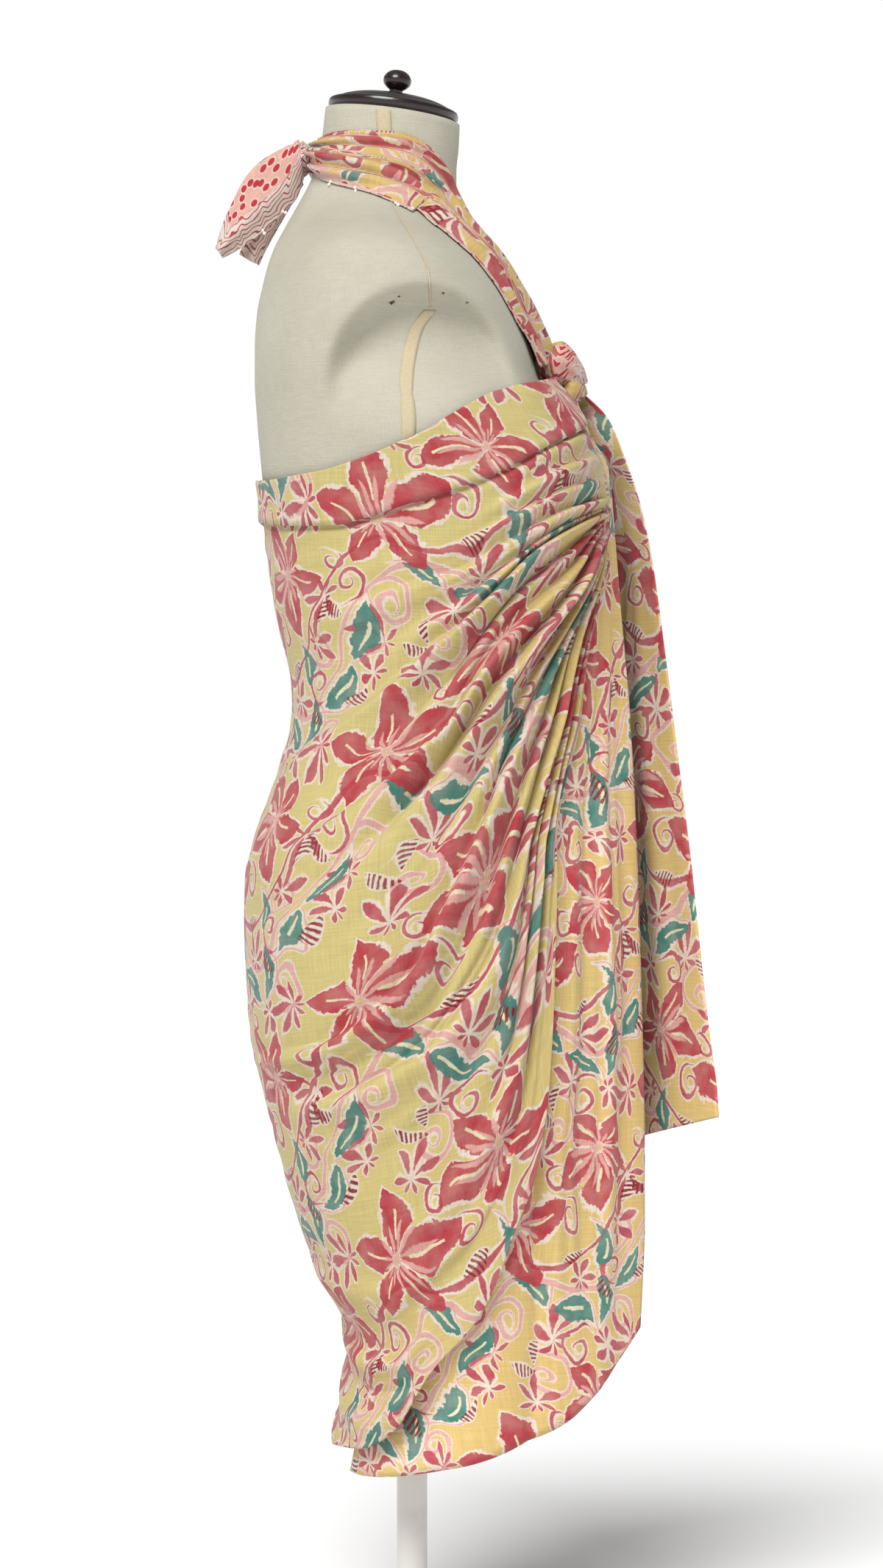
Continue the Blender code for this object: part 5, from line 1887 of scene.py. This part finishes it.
@dataclass
class TiedKnot:
    """A knot of crossed cloth: rolls that bulge in the middle and are pinched at their ends."""

    name: str
    node: str
    centre: tuple
    # Rolls: start, middle and end from the knot's centre, radii, folds round, distance from the cloth's end
    rolls: tuple
    segments: int = 64
    steps: int = 40
    depth: float = 0.13
    pinch: float = 0.4
    twist: float = 2.4

    def roll(self, start: tuple, middle: tuple, end: tuple, radii: tuple, folds: int) -> tuple[Grid, Grid]:
        """Sweeps one roll.

        Args:
            start: Where it starts, from the knot's centre.
            middle: Where its middle is.
            end: Where it ends.
            radii: Radius at the three places.
            folds: How many folds go round it.

        Returns:
            Its points and their outward directions.
        """
        along = np.linspace(0.0, 1.0, self.steps)
        middle_line = curve((0.0, 0.5, 1.0), (start, middle, end), along)
        radius = curve((0.0, 0.12, 0.5, 0.88, 1.0), (self.pinch, *radii, self.pinch), along)
        direction = np.asarray(end, float) - np.asarray(start, float)
        direction /= np.linalg.norm(direction)
        across = np.cross(direction, [1.0, 0.0, 0.0])
        across /= np.linalg.norm(across)
        upward = np.cross(across, direction)
        turn = np.linspace(0.0, 2 * HALF_TURN, self.segments + 1)[None, :]
        swing = folds * turn + self.twist * along[:, None]
        ripple = 1.0 + self.depth * (np.abs(np.sin(swing)) - 0.5)
        ripple = ripple + 0.05 * np.sin(2.3 * swing + 5.0 * along[:, None])
        unit = np.cos(turn)[..., None] * across + np.sin(turn)[..., None] * upward
        reach = (radius[:, None] * ripple)[..., None]
        points = middle_line[:, None, :] + unit * reach
        return points, np.broadcast_to(unit, points.shape)

    def build(self, cotton: Material) -> Object:
        """Builds the knot as one mesh of closed rolls.

        Args:
            cotton: Its material.

        Returns:
            The knot.
        """
        shape = bmesh.new()
        for start, middle, end, radii, folds, border in self.rolls:
            points, outward = self.roll(start, middle, end, radii, folds)
            points = points + np.array(self.centre[:3])
            round_roll, along_roll = arc_lengths(points, 1), arc_lengths(points, 0)
            flat = np.stack([along_roll * 1.1 + 37.0 * folds, round_roll * 1.2], axis=-1)
            along = np.linspace(0.0, 1.0, self.steps)[:, None]
            edge = border[0] + (border[1] - border[0]) * along + 5.0 * np.sin(round_roll * 0.3)
            part = cloth_mesh(self.name, points, outward, flat, edge, np.array(0.85))
            shape.from_mesh(part)
            bpy.data.meshes.remove(part)
        bmesh.ops.remove_doubles(shape, verts=shape.verts, dist=1e-7)
        mesh = bpy.data.meshes.new(self.name)
        shape.to_mesh(mesh)
        shape.free()
        return add_piece(self.name, mesh, cotton, "pink_cotton", self.node)


@dataclass
class FreeTail:
    """A free corner of the cloth behind the nape, cupped and soft."""

    name: str
    node: str
    side: Side
    table: tuple
    reach: float
    flat: tuple[float, float]
    columns: int = 40
    stations: int = 60
    cup: float = 6.0
    soft: float = 1.1
    thickness: float = 0.8

    def build(self, cotton: Material) -> tuple[Object, Grid]:
        """Builds the tail.

        Args:
            cotton: Its material.

        Returns:
            The tail and its grid.
        """
        table = np.asarray(self.table, float)
        read = curve(np.linspace(0.0, 1.0, len(table)), table, np.linspace(0.0, 1.0, self.stations))
        across = np.linspace(0.0, 1.0, self.columns)[None, :]
        down = np.linspace(0.0, 1.0, self.stations)[:, None]
        upper, lower = read[:, [0, 1, 2]][:, None, :], read[:, [0, 3, 4]][:, None, :]
        points = upper + (lower - upper) * across[..., None]
        side = self.side.value
        points[..., 0] += side * self.cup * np.sin(HALF_TURN * across)
        swing = np.sin(2 * HALF_TURN * (1.6 * across + 0.5 * down))
        points[..., 0] += side * self.soft * swing * ease(0, 0.4, down)
        outward = np.zeros_like(points)
        outward[..., 0] = side
        points = keep_clear(points, NAPE_KNOT, self.reach)
        wide, long = arc_lengths(points[:, ::-1], 1)[:, ::-1], arc_lengths(points, 0)
        flat = np.stack([long, wide], axis=-1)
        tip = (long.max() - long) * 0.55
        mesh = cloth_mesh(self.name, points, outward, flat, np.minimum(wide, tip + 4.0), np.array(0.6))
        item = add_piece(self.name, mesh, cotton, "pink_cotton", self.node)
        add_wall(item, self.thickness, True)
        return item, points


@dataclass
class PearlBeads:
    """Clusters of small beads sewn to the end of the cloth."""

    places: list[np.ndarray]
    radius: float = 1.6
    beads: int = 2

    def build(self, pearl: Material) -> Object:
        """Builds every cluster as one piece.

        Args:
            pearl: Its material.

        Returns:
            The beads.
        """
        shape = bmesh.new()
        for index, place in enumerate(self.places):
            for bead in range(self.beads):
                turn = HALF_TURN * bead + 0.7 * index
                spot = place + self.radius * 0.95 * np.array([-0.35, math.cos(turn), math.sin(turn) - 0.2])
                made = bmesh.ops.create_icosphere(shape, subdivisions=3, radius=self.radius * MM)["verts"]
                bmesh.ops.translate(shape, verts=made, vec=Vector(spot * MM))
        mesh = bpy.data.meshes.new("pearl_beads")
        shape.to_mesh(mesh)
        shape.free()
        return add_piece("pearl_beads", mesh, pearl, "pink_cotton")


@dataclass
class Stand:
    """Cap and knob on the neck, and the pole and base below, as the form has them."""

    neck_centre: float = 18.0
    neck_top: float = 1394.0
    tilt: float = 7.5
    seat: float = 0.3

    def build(self, wood: Material, steel: Material) -> None:
        """Builds the four turned pieces.

        Args:
            wood: Material of the cap and the knob.
            steel: Material of the base and the pole.
        """
        top = (0.0, self.neck_centre, self.neck_top + self.seat)
        # Profiles: radius and height of each point
        cap = ((0, 21.0), (20, 20.0), (38, 17.5), (49, 14.0), (52, 11.8), (56, 11.0), (59.5, 9.5),
               (60.5, 6.5), (60.3, 3.0), (58.5, 0.8), (56, 0.0), (0, 0.0))
        knob = ((0, 43.5), (6, 42.8), (10.5, 39.8), (13.2, 35.0), (12.6, 30.0), (9.0, 26.4), (6.0, 24.6),
                (6.5, 21.35), (0, 21.35))
        base = ((0, 14.0), (120, 14.0), (158, 11.5), (168, 7.0), (170, 3.0), (168.5, 0.0), (0, 0.0))
        pole = ((0, 519.7), (13.4, 519.7), (14, 519.0), (14, 15.0), (13.4, 14.3), (0, 14.3))
        TurnedPiece("turned_neck_cap", "neck_cap", "dark_wood", cap, top, self.tilt).build(wood)
        TurnedPiece("turned_neck_knob", "neck_knob", "dark_wood", knob, top, self.tilt, 64).build(wood)
        TurnedPiece("steel_base", "floor_base", "pale_metal", base, (0.0, 0.0, 0.0), 0.0, 128).build(steel)
        TurnedPiece("steel_pole", "pole", "pale_metal", pole, (0.0, 0.0, 0.0), 0.0, 64).build(steel)


@dataclass
class Studio:
    """Plain pale floor, soft light and the camera."""

    eye: tuple[float, float, float] = (-4.2, -0.0272, 0.7777)
    view_height: float = 1.449
    sensor: float = 36.0
    key_power: float = 3.7
    key_angle: float = 34.0
    key_from: tuple[float, float, float] = (-1.55, 0.50, 1.75)
    # Steepness at which the wall ends and the ceiling starts, then the brightness of each
    wall_glow: tuple[float, float, float, float] = (0.18, 0.26, 1.02, 0.30)
    floor_reach: float = 30.0

    def build(self) -> None:
        """Builds the floor, lights and camera."""
        scene = bpy.context.scene
        scene.view_settings.view_transform = "Standard"
        mesh = bpy.data.meshes.new("floor")
        reach = self.floor_reach
        mesh.from_pydata([(-reach, -reach, 0), (reach, -reach, 0), (reach, reach, 0), (-reach, reach, 0)], [],
                         [(0, 1, 2, 3)])
        floor = bpy.data.objects.new("floor", mesh)
        paper = Recipe("matt_paper_sweep", roughness=0.95)
        paper.colour(linear("#FFFFFF"))
        mesh.materials.append(paper.material)
        scene.collection.objects.link(floor)
        self.room(scene)
        sun = bpy.data.lights.new("key", "SUN")
        sun.energy = self.key_power
        sun.angle = math.radians(self.key_angle)
        item = bpy.data.objects.new("key", sun)
        item.rotation_euler = Vector(self.key_from).to_track_quat("Z", "Y").to_euler()
        scene.collection.objects.link(item)
        camera = bpy.data.cameras.new("camera")
        camera.sensor_fit = "AUTO"
        camera.sensor_width = self.sensor
        camera.lens = self.sensor * abs(self.eye[0]) / self.view_height
        item = bpy.data.objects.new("camera", camera)
        item.location = self.eye
        item.rotation_euler = (HALF_TURN / 2, 0.0, -HALF_TURN / 2)
        scene.collection.objects.link(item)
        scene.camera = item

    def room(self, scene: bpy.types.Scene) -> None:
        """Lights the room: a white wall all round at eye level and a dimmer ceiling.

        Args:
            scene: The scene.
        """
        world = bpy.data.worlds.new("studio")
        scene.world = world
        world.use_nodes = True
        nodes, links = world.node_tree.nodes, world.node_tree.links
        place, parts = nodes.new("ShaderNodeTexCoord"), nodes.new("ShaderNodeSeparateXYZ")
        size = nodes.new(MATH)
        size.operation = "ABSOLUTE"
        glow = nodes.new(RANGE)
        for name, value in zip(("From Min", "From Max", "To Min", "To Max"), self.wall_glow):
            glow.inputs[name].default_value = value
        links.new(place.outputs["Generated"], parts.inputs[0])
        links.new(parts.outputs["Z"], size.inputs[0])
        links.new(size.outputs[0], glow.inputs[0])
        background = nodes["Background"]
        background.inputs[0].default_value = (1.0, 1.0, 1.0, 1.0)
        links.new(glow.outputs[0], background.inputs[1])


def main() -> None:
    """Builds and dresses every piece in order."""
    logging.basicConfig(level=logging.INFO, format="%(name)s %(message)s")
    Studio().build()
    cotton = PrintedCotton().build()
    # Painted light: a brighter copy stands in for the room's light through one hanging layer, so it looks
    # brighter than the wrap.
    backlit_cotton = PrintedCotton(name="block_printed_cotton_voile_painted_backlight", reflected=0.80).build()
    form = DressForm()
    form.dress(FormLinen().build(), SeamTape().build(), WornHole().build())
    surface = form.grid()
    form_tree = tree_of(surface, level_out(surface, form.neck_centre))
    Stand().build(TurnedWood().build(), CoatedSteel().build())
    TiedKnot("tied_chest_knot", "chest_knot", CHEST_KNOT, CHEST_ROLLS).build(cotton)
    TiedKnot("tied_nape_knot", "nape_knot", NAPE_KNOT, NAPE_ROLLS).build(cotton)
    _, wound = BodyWrap(form).build(cotton, form_tree)
    cover = tree_of(wound, level_out(wound, form.neck_centre))
    HangingFall("near_hanging_cloth", "near_fall", Side.NEAR, NEAR_FALL, NEAR_FALL_FOLDS, 1.6,
                (0.17, 1.02), seed=3, hem_sag=20.0).build(backlit_cotton, cover)
    HangingFall("far_hanging_cloth", "far_fall", Side.FAR, FAR_FALL, FAR_FALL_FOLDS, 0.42,
                (0.21, 0.79), seed=8).build(backlit_cotton, cover)
    strap = HalterStrap("near_rolled_strap", "near_strap", Side.NEAR, form, 0.0, (0.085, 0.37))
    _, near = strap.build(cotton, form_tree)
    strap = HalterStrap("far_rolled_strap", "far_strap", Side.FAR, form, 3.0, (0.085, 0.37))
    strap.build(cotton, form_tree)
    tail = FreeTail("upper_free_tail", "upper_tail", Side.NEAR, UPPER_TAIL, -0.65, (0.045, 0.105))
    _, upper = tail.build(cotton)
    FreeTail("lower_free_tail", "lower_tail", Side.FAR, LOWER_TAIL, -0.82, (0.028, 0.072)).build(cotton)
    on_strap = [near[row, 0] for row in (83, 98, 116, 128)]
    on_tail = [upper[4, 0], upper[20, -1], upper[34, -1]]
    PearlBeads(on_strap + on_tail).build(GlassPearl().build())


if __name__ == "__main__":
    main()
